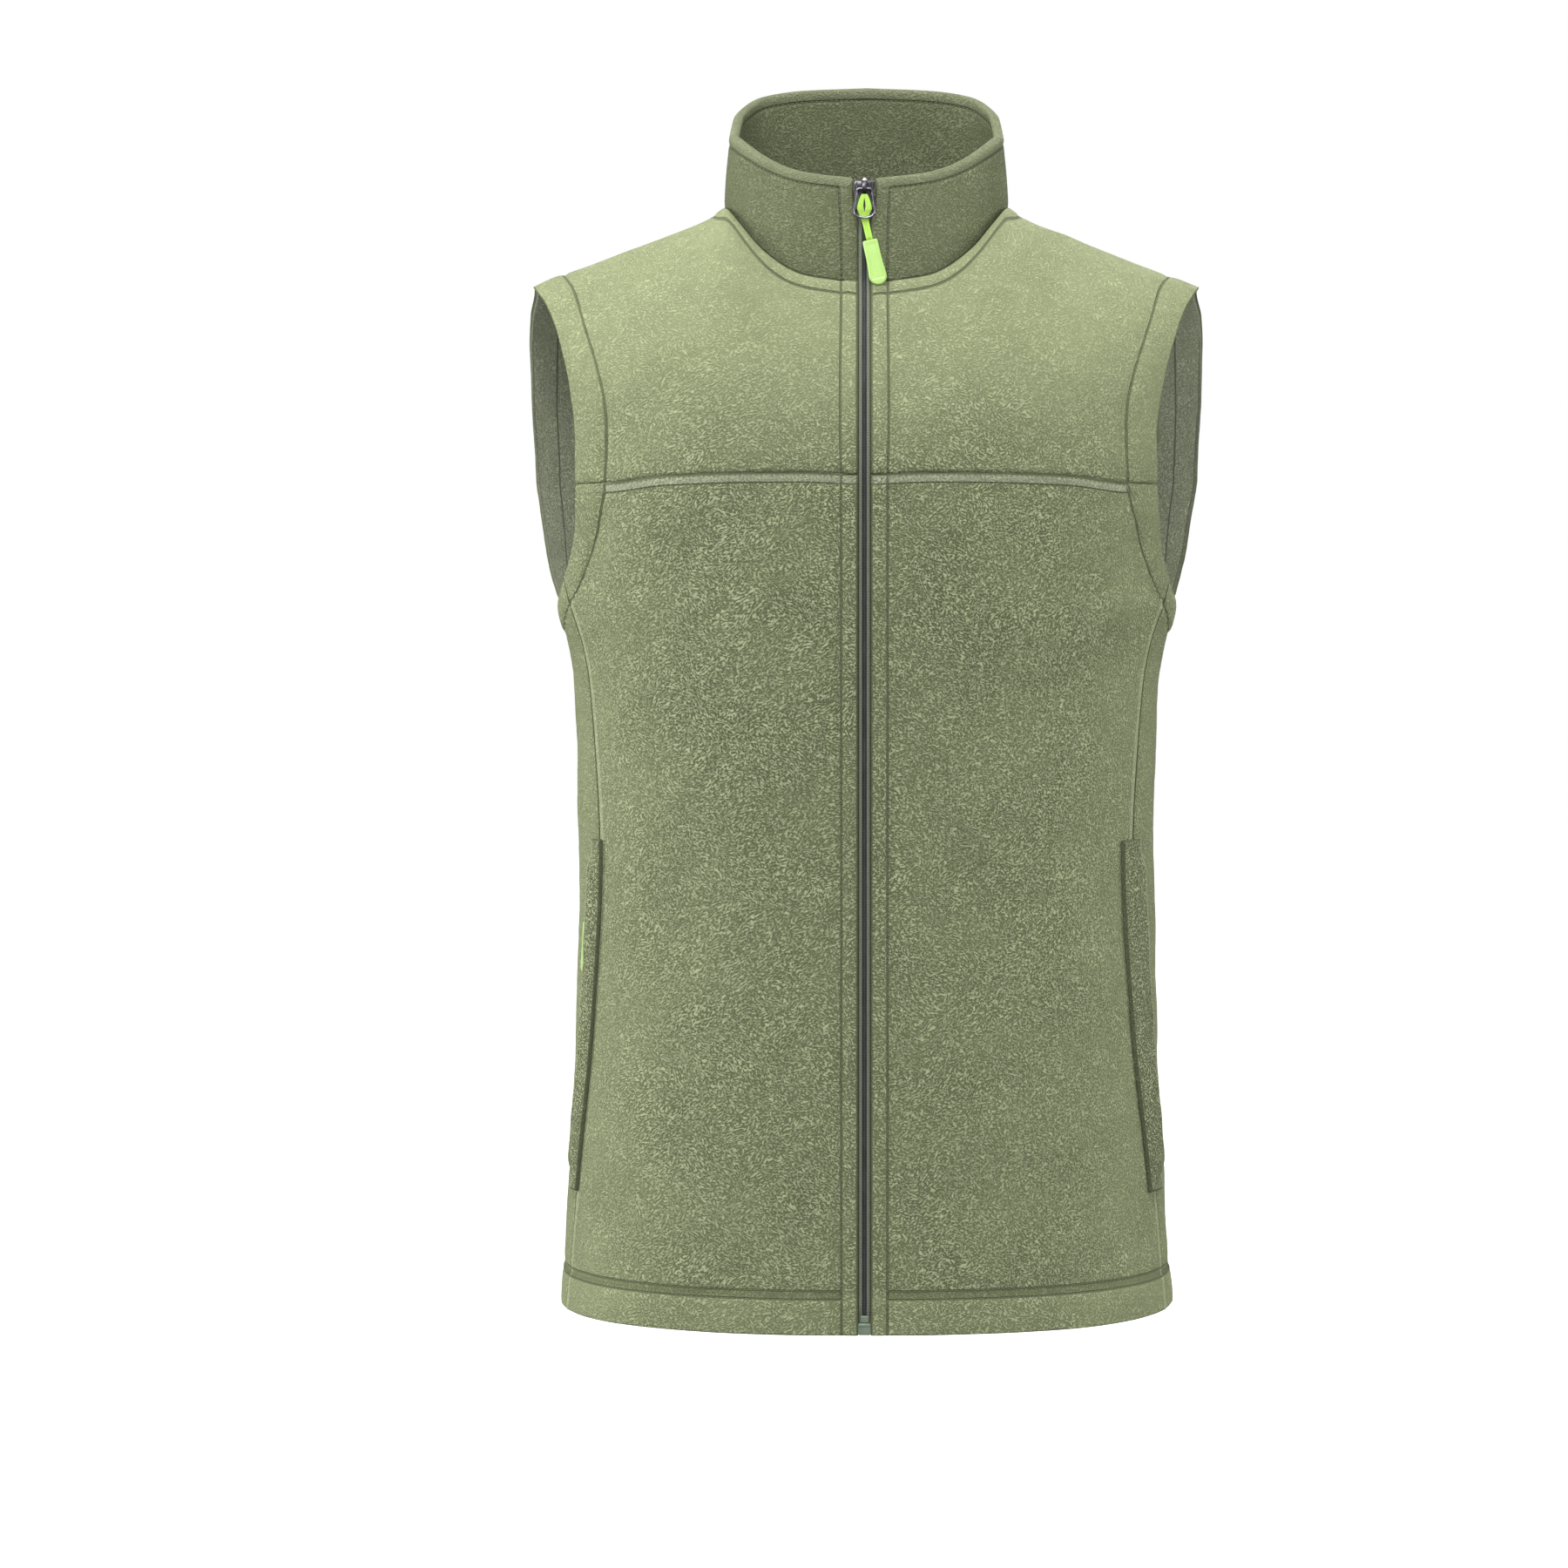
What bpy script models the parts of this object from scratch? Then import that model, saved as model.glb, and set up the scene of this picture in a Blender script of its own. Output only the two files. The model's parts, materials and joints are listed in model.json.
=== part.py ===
"""Fleece vest: sleeveless, zip-fronted, stand collar, filled out as if worn and hollow inside.

Sizes are in millimetres until a mesh is made. X runs to the wearer's left, the front faces -Y
and Z is up. The origin lies midway between the two side-neck points, where a wearer holds it.
"""
import math

import bmesh
import bpy
import numpy as np
from mathutils import Matrix

for leftover in list(bpy.data.objects):
    bpy.data.objects.remove(leftover, do_unlink=True)

MM = 0.001

# Cloth
CLOTH = 2.4               # one layer of fleece
COLLAR_CLOTH = 5.0        # two layers and their turned seam
SEAM_GAP = 0.3            # between pieces that are sewn together
HEM_Z = -682.5
HEM_TURN = 24.0           # depth of the turned hem
ARMHOLE_TURN = 20.0       # depth of the turned armhole edge
ZIP_TURN = 10.0           # depth of the turned front edge
TURN_RISE = 0.7           # a turned edge stands this much prouder
TURN_STEP = 3.0           # over this distance

# Body of the vest
ROUNDNESS = 2.4           # exponent of the front's cross-section
YOKE_Z = -167.0           # yoke seam, and where the shoulders start to round over

# Height, half width of the front, depth of the front, half width of the back, depth of the back,
# exponent of the back's cross-section
BODY = [
    (-682.5, 192.6, 137.0, 192.6, 119.0, 2.4),
    (-600.0, 187.9, 133.0, 187.9, 113.0, 2.4),
    (-510.0, 183.5, 130.0, 183.5, 107.0, 2.4),
    (-400.0, 181.0, 128.5, 181.0, 106.0, 2.5),
    (-324.0, 182.4, 129.5, 182.4, 112.0, 2.8),
    (-291.0, 183.9, 130.5, 183.9, 115.5, 3.0),
    (-269.0, 187.2, 131.2, 187.2, 118.0, 3.1),
    (-243.5, 193.9, 132.0, 193.9, 120.5, 3.2),
    (-236.0, 192.9, 132.2, 198.0, 121.3, 3.2),
    (-214.0, 192.4, 132.6, 209.4, 123.0, 3.2),
    (-190.0, 194.6, 132.9, 218.8, 125.0, 3.1),
    (-167.0, 197.3, 133.0, 226.8, 126.0, 3.0),
]
FRONT_HALF, FRONT_DEPTH, BACK_HALF, BACK_DEPTH, BACK_ROUNDNESS = range(1, 6)

# Side seam: height, how far it lies in front of the side line
SIDE_SEAM = [
    (-682.5, 46.0),
    (-600.0, 52.0),
    (-500.0, 62.0),
    (-390.0, 67.0),
    (-300.0, 62.0),
    (-255.0, 58.0),
    (-240.0, 53.0),
    (-228.5, 42.0),
]

# Armhole seen from the side is an oval
ARM_TOP = -45.2
ARM_BOTTOM = -243.5
ARM_FRONT = 72.0          # how far it reaches in front of the shoulder line
ARM_BACK = 70.0           # and behind it
ARM_ROUNDNESS = 2.2

# Rows of the back end at these heights up the side seam, then at these depths round the armhole,
# and start at these heights at centre back
BACK_SEAM_ENDS = [(-365.0, -376.0), (-340.0, -363.0), (-318.0, -354.0), (-298.0, -348.0),
                  (-280.0, -343.0), (-264.0, -339.0), (-250.0, -335.0), (-240.0, -331.0),
                  (-228.5, -326.0)]
BACK_ARM_ENDS = [(-28.0, -315.0), (-13.0, -302.0), (2.0, -286.0), (18.0, -268.0), (33.0, -248.0),
                 (46.0, -228.0), (56.0, -208.0), (63.0, -192.0), (67.5, -179.0)]
BACK_ROW_REACH = 50.0

# Armhole above the yoke seam, seen from the front: height, half width of the front edge, of the back edge
ARMHOLE = [
    (-140.0, 177.7, 215.1),
    (-110.0, 181.5, 216.6),
    (-80.0, 189.5, 216.6),
    (-60.0, 198.0, 214.7),
    (-45.2, 208.9, 208.9),
]

# Neck seam and collar ridge from centre front round to centre back:
# station, seam x, y, z, ridge x, y, z
COLLAR = [
    (0, 0.0, -92.0, -49.5, 0.0, -77.6, 15.0),
    (1, 37.8, -84.5, -43.7, 38.0, -70.0, 20.5),
    (2, 62.6, -67.5, -27.5, 57.0, -58.0, 28.6),
    (3, 76.5, -49.0, -11.0, 68.5, -46.5, 36.8),
    (4, 86.5, -24.0, 2.0, 78.0, -29.0, 45.5),
    (5, 89.0, -4.0, 4.5, 82.4, -6.0, 52.0),
    (6, 85.5, 25.0, 6.0, 80.8, 23.0, 67.3),
    (7, 78.0, 43.0, 7.5, 76.0, 38.5, 75.4),
    (8, 65.0, 57.0, 9.5, 68.0, 51.0, 82.0),
    (9, 38.0, 66.0, 11.5, 42.0, 61.5, 87.8),
    (10, 0.0, 69.0, 12.0, 0.0, 64.5, 90.0),
]
SIDE_NECK = 5             # the station where the shoulder line starts
NECK_SHARE = 0.5          # share of a yoke's columns that end on the neck seam
SHOULDER_SLOPE = 0.378
NECK_RISE = 4.7           # the shoulder curves up by this much into the neck seam
NECK_RISE_REACH = 6.0
CORNER_SOFTNESS = 0.3     # how far down the corner at the side neck is smoothed away

# Soft folds: front -1 or back 1, x and z of one end, x and z of the other, half width, depth
FOLDS = [
    (-1, -164.0, -200.0, -172.0, -246.0, 11.0, 2.4),
    (-1, 166.0, -208.0, 172.0, -250.0, 10.0, 1.4),
    (1, 122.0, -196.0, 164.0, -262.0, 17.0, 2.2),
    (1, -130.0, -202.0, -166.0, -270.0, 15.0, 1.8),
    (1, 34.0, -392.0, 112.0, -376.0, 16.0, 1.8),
    (1, -26.0, -408.0, -100.0, -388.0, 18.0, 2.0),
    (1, -20.0, -452.0, 74.0, -444.0, 20.0, 1.4),
]

# Zip
ZIP_X = -1.2              # the closed zip lies just off the centre line
ZIP_HALF = 4.7            # half the gap between the fleece edges
TAPE_HALF = 14.0
TAPE = 0.7
COIL_HALF = 0.95
SLIDER_FLARE = 2.9        # the collar's edges spread by this much round the slider
RETAINER_TOP = 7.4        # above the hem
COIL_BOTTOM = 13.0        # above the hem
HINGE_Z = 7.0             # where the pull's bar runs under the slider's bridge
HINGE_LIFT = 3.2          # and how far it is off the collar's face

# Pockets
POCKET_TOP = -394.0
POCKET_BOTTOM = -601.0
POCKET_SLOT = 3.3         # half width of the zipped opening
WELT_FRONT = {"left": 14.0, "right": 5.0}    # in front of the side seam
WELT_BACK = 9.5           # behind it, at the free edge
WELT_TAPER = 3.2          # the free edge draws in by this much at both ends
WELT_CLOTH = 2.2
WELT_STAND = 2.3          # the free edge stands this far off the panel
PULL_HANG = {"left": 0.0, "right": 3.9}     # how far back each pocket's pull has swung

SIDES = {"left": 1.0, "right": -1.0}


# ---------------------------------------------------------------- curves and tables

def smooth(rows, column):
    """A smooth curve through one column of a table, read by the table's first column."""
    at = np.array([row[0] for row in rows], float)
    value = np.array([row[column] for row in rows], float)
    rise = np.diff(value) / np.diff(at)
    product = rise[1:] * rise[:-1]
    total = np.where(product > 0, rise[1:] + rise[:-1], 1.0)
    slope = np.concatenate([rise[:1], np.where(product > 0, 2 * product / total, 0.0), rise[-1:]])

    def read(where):
        where = np.clip(where, at[0], at[-1])
        i = np.clip(np.searchsorted(at, where) - 1, 0, len(at) - 2)
        span = at[i + 1] - at[i]
        t = (where - at[i]) / span
        return ((1 + 2 * t) * (1 - t) ** 2 * value[i] + t * (1 - t) ** 2 * span * slope[i]
                + t * t * (3 - 2 * t) * value[i + 1] + t * t * (t - 1) * span * slope[i + 1])
    return read


def ease(low, high, x):
    """0 below low, 1 above high, and a soft step between."""
    t = np.clip((np.asarray(x, float) - low) / (high - low), 0, 1)
    return t * t * (3 - 2 * t)


def unit(vectors):
    return vectors / np.maximum(np.linalg.norm(vectors, axis=-1, keepdims=True), 1e-9)


def run_length(points):
    """Distance travelled along a polyline at each of its points."""
    return np.concatenate([[0.0], np.cumsum(np.linalg.norm(np.diff(points, axis=0), axis=1))])


def at_distances(points, distances):
    """Fractional indices at given distances along a polyline."""
    return np.interp(distances, run_length(points), np.arange(len(points)))


def pick(values, where):
    """Values of a list at fractional indices."""
    index = np.arange(len(values))
    if np.ndim(values) == 1:
        return np.interp(where, index, values)
    return np.stack([np.interp(where, index, values[:, k]) for k in range(values.shape[1])], -1)


front_half = smooth(BODY, FRONT_HALF)
front_depth = smooth(BODY, FRONT_DEPTH)
back_half = smooth(BODY, BACK_HALF)
back_depth = smooth(BODY, BACK_DEPTH)
back_roundness = smooth(BODY, BACK_ROUNDNESS)
seam_depth = smooth(SIDE_SEAM, 1)
neck_curves = [smooth(COLLAR, k) for k in (1, 2, 3)]
ridge_curves = [smooth(COLLAR, k) for k in (4, 5, 6)]


def neck(station):
    return np.stack([curve(station) for curve in neck_curves], -1)


def ridge(station):
    return np.stack([curve(station) for curve in ridge_curves], -1)


# ---------------------------------------------------------------- the body's surface

def body_point(turn, z):
    """The outer surface: turn is 0 at centre back, a quarter at the side, a half at centre front."""
    turn, z = np.broadcast_arrays(np.asarray(turn, float), np.asarray(z, float))
    behind = turn <= math.pi / 2
    angle = np.where(behind, turn, math.pi - turn)
    half = np.where(behind, back_half(z), front_half(z))
    depth = np.where(behind, back_depth(z), front_depth(z))
    power = 2 / np.where(behind, back_roundness(z), ROUNDNESS)
    across = half * np.clip(np.sin(angle), 0, 1) ** power
    deep = depth * np.clip(np.cos(angle), 0, 1) ** power
    return np.stack([across, np.where(behind, deep, -deep), z], -1)


def body_normal(points):
    """Outward normals of the body's surface, from its implicit form."""
    x, y, z = points[..., 0], points[..., 1], points[..., 2]
    behind = y > 0
    step = 1.0
    half = np.where(behind, back_half(z), front_half(z))
    depth = np.where(behind, back_depth(z), front_depth(z))
    half_rate = np.where(behind, back_half(z + step) - back_half(z - step),
                         front_half(z + step) - front_half(z - step)) / (2 * step)
    depth_rate = np.where(behind, back_depth(z + step) - back_depth(z - step),
                          front_depth(z + step) - front_depth(z - step)) / (2 * step)
    n = np.where(behind, back_roundness(z), ROUNDNESS)
    a, b = np.abs(x / half), np.abs(y / depth)
    return unit(np.stack([np.sign(x) * a ** (n - 1) / half, np.sign(y) * b ** (n - 1) / depth,
                          -(a ** n * half_rate / half + b ** n * depth_rate / depth)], -1))


def turn_at_depth(y, z):
    """The turn at which the surface lies y behind the side line, or in front of it."""
    full = np.where(y > 0, back_depth(z), front_depth(z))
    power = np.where(y > 0, back_roundness(z), ROUNDNESS) / 2
    angle = np.arccos(np.clip(np.abs(y) / full, 0, 1) ** power)
    return np.where(y > 0, angle, math.pi - angle)


def turn_at_front_width(x, z):
    return math.pi - np.arcsin(np.clip(x / front_half(z), 0, 1) ** (ROUNDNESS / 2))


def arm_depth(z, reach):
    middle, tall = (ARM_TOP + ARM_BOTTOM) / 2, (ARM_TOP - ARM_BOTTOM) / 2
    share = np.clip(np.abs((z - middle) / tall), 0, 1) ** ARM_ROUNDNESS
    return reach * (1 - share) ** (1 / ARM_ROUNDNESS)


def arm_low_z(y):
    """Height of the armhole's lower edge at a depth."""
    middle, tall = (ARM_TOP + ARM_BOTTOM) / 2, (ARM_TOP - ARM_BOTTOM) / 2
    reach = np.where(y < 0, ARM_FRONT, ARM_BACK)
    return middle - tall * (1 - np.abs(y / reach) ** ARM_ROUNDNESS) ** (1 / ARM_ROUNDNESS)


def arm_start(y):
    return float(body_point(turn_at_depth(y, YOKE_Z), YOKE_Z)[0])


SEAM_TOP = SIDE_SEAM[-1][0]
ARM_START = (YOKE_Z, arm_start(-arm_depth(YOKE_Z, ARM_FRONT)), arm_start(arm_depth(YOKE_Z, ARM_BACK)))
arm_front_x = smooth([ARM_START] + ARMHOLE, 1)
arm_back_x = smooth([ARM_START] + ARMHOLE, 2)


def slot_half(z):
    """Half the gap along the side seam: a seam, or the pocket's zipped opening."""
    inside = ease(POCKET_BOTTOM - 2, POCKET_BOTTOM + 8, z) * (1 - ease(POCKET_TOP - 8, POCKET_TOP + 2, z))
    return SEAM_GAP / 2 + (POCKET_SLOT - SEAM_GAP / 2) * inside


def front_edge_turn(z):
    """Turn of a lower front's outer edge: the side seam, then the armhole above it."""
    y = np.where(z < SEAM_TOP, -seam_depth(z), -arm_depth(z, ARM_FRONT))
    return turn_at_depth(y, z)


def torso_row(start, end, z_start, z_end, shares, end_gap=0.0, samples=160):
    """A row on the body from one turn to another, at shares of its length, short of its end.

    A row is level at z_start and drifts to z_end close to its end.
    """
    turns = np.linspace(start, end, samples)
    run = run_length(body_point(turns, np.full(samples, z_end)))
    z = z_start + (z_end - z_start) * np.exp((run - run[-1]) / BACK_ROW_REACH)
    fine = body_point(turns, z)
    where = at_distances(fine, np.asarray(shares) * (run_length(fine)[-1] - end_gap))
    points = body_point(pick(turns, where), pick(z, where))
    return points, body_normal(points)


def front_rows(heights, shares, opening):
    """Points and normals of a lower front, from the zip's edge to the side seam or armhole."""
    rows = []
    for z in heights:
        start = turn_at_front_width(opening, z)
        gap = float(slot_half(z)) if z < SEAM_TOP else 0.0
        rows.append(torso_row(float(start), float(front_edge_turn(z)), z, z, shares, gap))
    return np.array([r[0] for r in rows]), np.array([r[1] for r in rows])


def back_rows(heights, shares):
    """Points and normals of half the back, from centre back to the side seam or armhole."""
    rows = []
    for z in heights:
        edge = float(turn_at_depth(-seam_depth(z), z))
        rows.append(torso_row(0.0, edge, z, z, shares, float(slot_half(z))))
    ends = [(-float(seam_depth(z)), z, centre_z, SEAM_GAP / 2) for z, centre_z in BACK_SEAM_ENDS]
    ends += [(y, float(arm_low_z(y)), centre_z, 0.0) for y, centre_z in BACK_ARM_ENDS]
    for y, z, centre_z, gap in ends:
        rows.append(torso_row(0.0, float(turn_at_depth(y, z)), centre_z, z, shares, gap))
    return np.array([r[0] for r in rows]), np.array([r[1] for r in rows])


# ---------------------------------------------------------------- shoulders

def shoulder(x):
    """The shoulder line from the side neck out to the armhole."""
    start, tip = COLLAR[SIDE_NECK], ARMHOLE[-1]
    z = tip[0] + SHOULDER_SLOPE * (tip[1] - x) + NECK_RISE * np.exp(-(x - start[1]) / NECK_RISE_REACH)
    y = start[2] * (tip[1] - x) / (tip[1] - start[1])
    return np.stack([x, y, z], -1)


def top_edge(shares, behind, opening):
    """Where the columns end: the neck seam, then the shoulder line."""
    stations = np.linspace(10, SIDE_NECK, 200) if behind else np.linspace(0, SIDE_NECK, 200)
    ring = neck(stations)
    if not behind:
        ring = ring[ring[:, 0] >= opening * 0.999]
        ring = np.vstack([pick(neck(stations), np.interp(opening, neck(stations)[:, 0], np.arange(200)))
                          [None], ring])
    line = shoulder(np.linspace(COLLAR[SIDE_NECK][1], ARMHOLE[-1][1], 120))
    neck_share = np.clip(shares / NECK_SHARE, 0, 1)
    line_share = np.clip((shares - NECK_SHARE) / (1 - NECK_SHARE), 0, 1)
    on_neck = pick(ring, at_distances(ring, neck_share * run_length(ring)[-1]))
    on_line = pick(line, at_distances(line, line_share * run_length(line)[-1]))
    return np.where((shares <= NECK_SHARE)[:, None], on_neck, on_line)


def rounding(shares, behind):
    """How each column bends over: its fullness and its roll at the top."""
    middle = ease(0, NECK_SHARE, shares)
    edge = ease(NECK_SHARE, 1, shares)
    fullness = (2.0 if behind else 1.7) + (0.2 if behind else 0.5) * middle + 0.9 * edge
    roll = 1 - 0.45 * middle - 0.05 * edge
    return fullness, roll


def upper_points(shares, rises, behind, opening):
    """Points of a yoke, or of the back above the yoke's height, as rows from YOKE_Z to the top."""
    shares = np.asarray(shares, float)
    if behind:
        edge = float(turn_at_depth(np.float64(arm_depth(YOKE_Z, ARM_BACK)), YOKE_Z))
        base = torso_row(0.0, edge, YOKE_Z, YOKE_Z, shares)[0]
    else:
        start = float(turn_at_front_width(opening, YOKE_Z))
        base = torso_row(start, float(front_edge_turn(YOKE_Z)), YOKE_Z, YOKE_Z, shares)[0]
    fullness, roll = rounding(shares, behind)
    spread = 1 + 1.8 * shares
    edge_x = arm_back_x if behind else arm_front_x
    reach = ARM_BACK if behind else -ARM_FRONT
    pull = shares ** 4
    rows = []
    for rise in rises:
        soften = CORNER_SOFTNESS * (1 - rise) * 4 * shares * (1 - shares)
        top = sum(weight * top_edge(shares + offset * soften, behind, opening)
                  for offset, weight in ((-1, 0.125), (-0.5, 0.25), (0, 0.25), (0.5, 0.25), (1, 0.125)))
        climb = 1 - (1 - rise) ** (1 / roll)
        bend = (1 - climb ** fullness) ** roll
        z = base[:, 2] + (top[:, 2] - base[:, 2]) * climb
        x = base[:, 0] + (top[:, 0] - base[:, 0]) * climb ** spread
        y = top[:, 1] + (base[:, 1] - top[:, 1]) * bend
        rim_climb = 1 - (1 - rise) ** (1 / roll[-1])
        rim_z = YOKE_Z + (ARM_TOP - YOKE_Z) * rim_climb
        plain_x = base[-1, 0] + (top[-1, 0] - base[-1, 0]) * rim_climb ** spread[-1]
        plain_y = top[-1, 1] + (base[-1, 1] - top[-1, 1]) * (1 - rim_climb ** fullness[-1]) ** roll[-1]
        x = x + pull * (edge_x(rim_z) - plain_x)
        y = y + pull * (arm_depth(rim_z, 1.0) * reach - plain_y)
        rows.append(np.stack([x, y, z], -1))
    return np.array(rows)


def upper_rows(shares, rises, behind, opening):
    """Points and outward normals above YOKE_Z."""
    shares, rises = np.asarray(shares, float), np.asarray(rises, float)
    points = upper_points(shares, rises, behind, opening)
    small = 0.004
    low_s, high_s = np.clip(shares - small, 0, 1), np.clip(shares + small, 0, 1)
    low_r, high_r = np.clip(rises - small, 0, 1), np.clip(rises + small, 0, 1)
    across = (upper_points(high_s, rises, behind, opening)
              - upper_points(low_s, rises, behind, opening))
    upward = (upper_points(shares, high_r, behind, opening)
              - upper_points(shares, low_r, behind, opening))
    normals = np.cross(across, upward)
    if behind:
        normals = -normals
        normals[:, shares == 0, 0] = 0.0
    normals = unit(normals)
    level = body_normal(points[:1])
    mix = ease(0.0, 0.2, rises)[:, None, None]
    return points, unit(level * (1 - mix) + normals * mix)


# ---------------------------------------------------------------- relief of the panels

def armhole_line():
    """The whole armhole as one closed run of points, for distances to it."""
    ring = []
    for side in (-1, 1):
        angle = np.linspace(-math.pi / 2, math.pi / 2, 90)
        z = (ARM_TOP + ARM_BOTTOM) / 2 + (ARM_TOP - ARM_BOTTOM) / 2 * np.sign(np.sin(angle)) \
            * np.abs(np.sin(angle)) ** (2 / ARM_ROUNDNESS)
        y = side * arm_depth(z, ARM_FRONT if side < 0 else ARM_BACK)
        low = body_point(turn_at_depth(y, z), z)[..., 0]
        x = np.where(z < YOKE_Z, low, arm_front_x(z) if side < 0 else arm_back_x(z))
        ring.append(np.stack([x, y, z], -1))
    return np.vstack(ring)


ARM_LINE = armhole_line()


def folded(points, normals):
    """The points sunk into the soft folds."""
    depth = np.zeros(points.shape[:-1])
    for face, x1, z1, x2, z2, half, deep in FOLDS:
        start, way = np.array([x1, z1]), np.array([x2 - x1, z2 - z1])
        flat = points[..., ::2] - start
        share = np.clip((flat @ way) / (way @ way), 0, 1)
        off = np.linalg.norm(flat - share[..., None] * way, axis=-1)
        depth += np.where(points[..., 1] * face > 0, deep * np.exp(-(off / half) ** 2), 0.0)
    return points - normals * depth[..., None]


def distance_to(points, line):
    flat = points.reshape(-1, 3)
    best = np.full(len(flat), 1e9)
    for spot in line:
        best = np.minimum(best, np.linalg.norm(flat - spot, axis=1))
    return best.reshape(points.shape[:-1])


def turned_edges(points, from_zip):
    """How much prouder the cloth stands where its armhole, hem and front edges are turned in."""
    def lip(distance, width):
        return 1 - ease(width - TURN_STEP / 2, width + TURN_STEP / 2, distance)
    hem = lip(points[..., 2] - HEM_Z, HEM_TURN)
    arm = lip(distance_to(points, ARM_LINE), ARMHOLE_TURN)
    front = lip(from_zip, ZIP_TURN) if from_zip is not None else 0.0
    return TURN_RISE * np.maximum(np.maximum(hem, arm), front)


# ---------------------------------------------------------------- meshes

collection = bpy.data.collections.new("fleece_vest")
bpy.context.scene.collection.children.link(collection)


def material(name, color, roughness, metallic=0.0):
    made = bpy.data.materials.new(name)
    made.use_nodes = True
    shader = made.node_tree.nodes["Principled BSDF"]
    shader.inputs["Base Color"].default_value = (*color, 1.0)
    shader.inputs["Roughness"].default_value = roughness
    shader.inputs["Metallic"].default_value = metallic
    return made


def finish(name, mesh_data, surface, flip):
    """One object from a bmesh in millimetres, mirrored across X if flip is set."""
    bmesh.ops.scale(mesh_data, vec=(-MM if flip else MM, MM, MM), verts=mesh_data.verts)
    if flip:
        bmesh.ops.reverse_faces(mesh_data, faces=mesh_data.faces)
    mesh = bpy.data.meshes.new(name)
    mesh_data.to_mesh(mesh)
    mesh_data.free()
    mesh.shade_smooth()
    mesh.set_sharp_from_angle(angle=math.radians(40))
    mesh.materials.append(surface)
    made = bpy.data.objects.new(name, mesh)
    collection.objects.link(made)
    return made


def wall(name, outer, inner, surface, flip=False):
    """A closed cloth wall between two grids of points, one outside and one inside."""
    rows, columns = outer.shape[:2]
    data = bmesh.new()
    out = [[data.verts.new(outer[i, j]) for j in range(columns)] for i in range(rows)]
    ins = [[data.verts.new(inner[i, j]) for j in range(columns)] for i in range(rows)]
    for i in range(rows - 1):
        for j in range(columns - 1):
            data.faces.new((out[i][j], out[i][j + 1], out[i + 1][j + 1], out[i + 1][j]))
            data.faces.new((ins[i][j], ins[i + 1][j], ins[i + 1][j + 1], ins[i][j + 1]))
    for i in range(rows - 1):
        data.faces.new((out[i + 1][0], ins[i + 1][0], ins[i][0], out[i][0]))
        data.faces.new((out[i][-1], ins[i][-1], ins[i + 1][-1], out[i + 1][-1]))
    for j in range(columns - 1):
        data.faces.new((out[0][j], ins[0][j], ins[0][j + 1], out[0][j + 1]))
        data.faces.new((out[-1][j + 1], ins[-1][j + 1], ins[-1][j], out[-1][j]))
    return finish(name, data, surface, flip)


def loft(name, rings, surface, flip=False):
    """A closed body through rings of points; its ends are closed by strips across the ring."""
    data = bmesh.new()
    made = [[data.verts.new(point) for point in ring] for ring in rings]
    count = len(made[0])
    for one, two in zip(made, made[1:]):
        for k in range(count):
            after = (k + 1) % count
            data.faces.new((one[k], one[after], two[after], two[k]))
    for k in range(count // 2 - 1):
        mate = count - 1 - k
        data.faces.new((made[0][k], made[0][mate], made[0][mate - 1], made[0][k + 1]))
        data.faces.new((made[-1][k + 1], made[-1][mate - 1], made[-1][mate], made[-1][k]))
    bmesh.ops.recalc_face_normals(data, faces=data.faces)
    return finish(name, data, surface, flip)


def mirrored(grid):
    """A half grid joined with its mirror image across the centre line."""
    other = grid[:, :0:-1].copy()
    other[..., 0] *= -1
    return np.concatenate([other, grid], axis=1)


# ---------------------------------------------------------------- materials

FLEECE = material("sage_fleece", (0.27, 0.32, 0.16), 0.95)
FLEECE_COLLAR = material("sage_fleece_collar", (0.28, 0.33, 0.17), 0.95)
FLEECE_WELT = material("sage_fleece_welt", (0.29, 0.34, 0.18), 0.95)
TAPE_CLOTH = material("olive_zip_tape", (0.16, 0.18, 0.10), 0.85)
COIL = material("slate_coil", (0.05, 0.06, 0.08), 0.5)
RETAINER = material("green_moulded_end", (0.22, 0.36, 0.25), 0.4)
GUNMETAL = material("gunmetal", (0.12, 0.12, 0.13), 0.3, 1.0)
LIME_CORD = material("lime_cord", (0.55, 0.85, 0.08), 0.6)
LIME_GRIP = material("lime_moulded_grip", (0.45, 0.92, 0.15), 0.45)


# ---------------------------------------------------------------- cloth panels

FRONT_SHARES = np.array([0, .03, .055, .12, .2, .29, .39, .5, .6, .7, .78, .84, .8925, .9075, .955, 1.0])
YOKE_SHARES = np.array([0, .03, .055, .085, .125, .17, .215, .26, .305, .35, .4, .45, .5,
                        .6, .7, .8, .8925, .9075, .955, 1.0])
BACK_SHARES = np.array([0, .065, .13, .195, .26, .32, .38, .44, .5,
                        .6, .7, .79, .86, .911, .926, .96, 1.0])
SHARED_ROWS = [HEM_Z, HEM_Z + HEM_TURN - TURN_STEP / 2, HEM_Z + HEM_TURN + TURN_STEP / 2,
               -630, POCKET_BOTTOM - 2, POCKET_BOTTOM + 8, -560, -525, -490, -460, -430,
               POCKET_TOP - 8, POCKET_TOP + 2]
FRONT_TOP_ROWS = [z for z, _ in BACK_SEAM_ENDS] + [-221, -212, -203, -192, -180, YOKE_Z]
RISES = np.array([0, .1, .2, .32, .45, .6, .75, .88, 1.0])


def cloth(name, points, normals, from_zip, surface, sign=1.0):
    points = folded(points * [sign, 1, 1], normals * [sign, 1, 1]) * [sign, 1, 1]
    flip = sign < 0
    raised = points + normals * turned_edges(points, from_zip)[..., None]
    return wall(name, raised, points - CLOTH * normals, surface, flip)


def distance_from_zip(shares, lengths):
    return np.asarray(lengths)[:, None] * shares[None, :]


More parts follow.
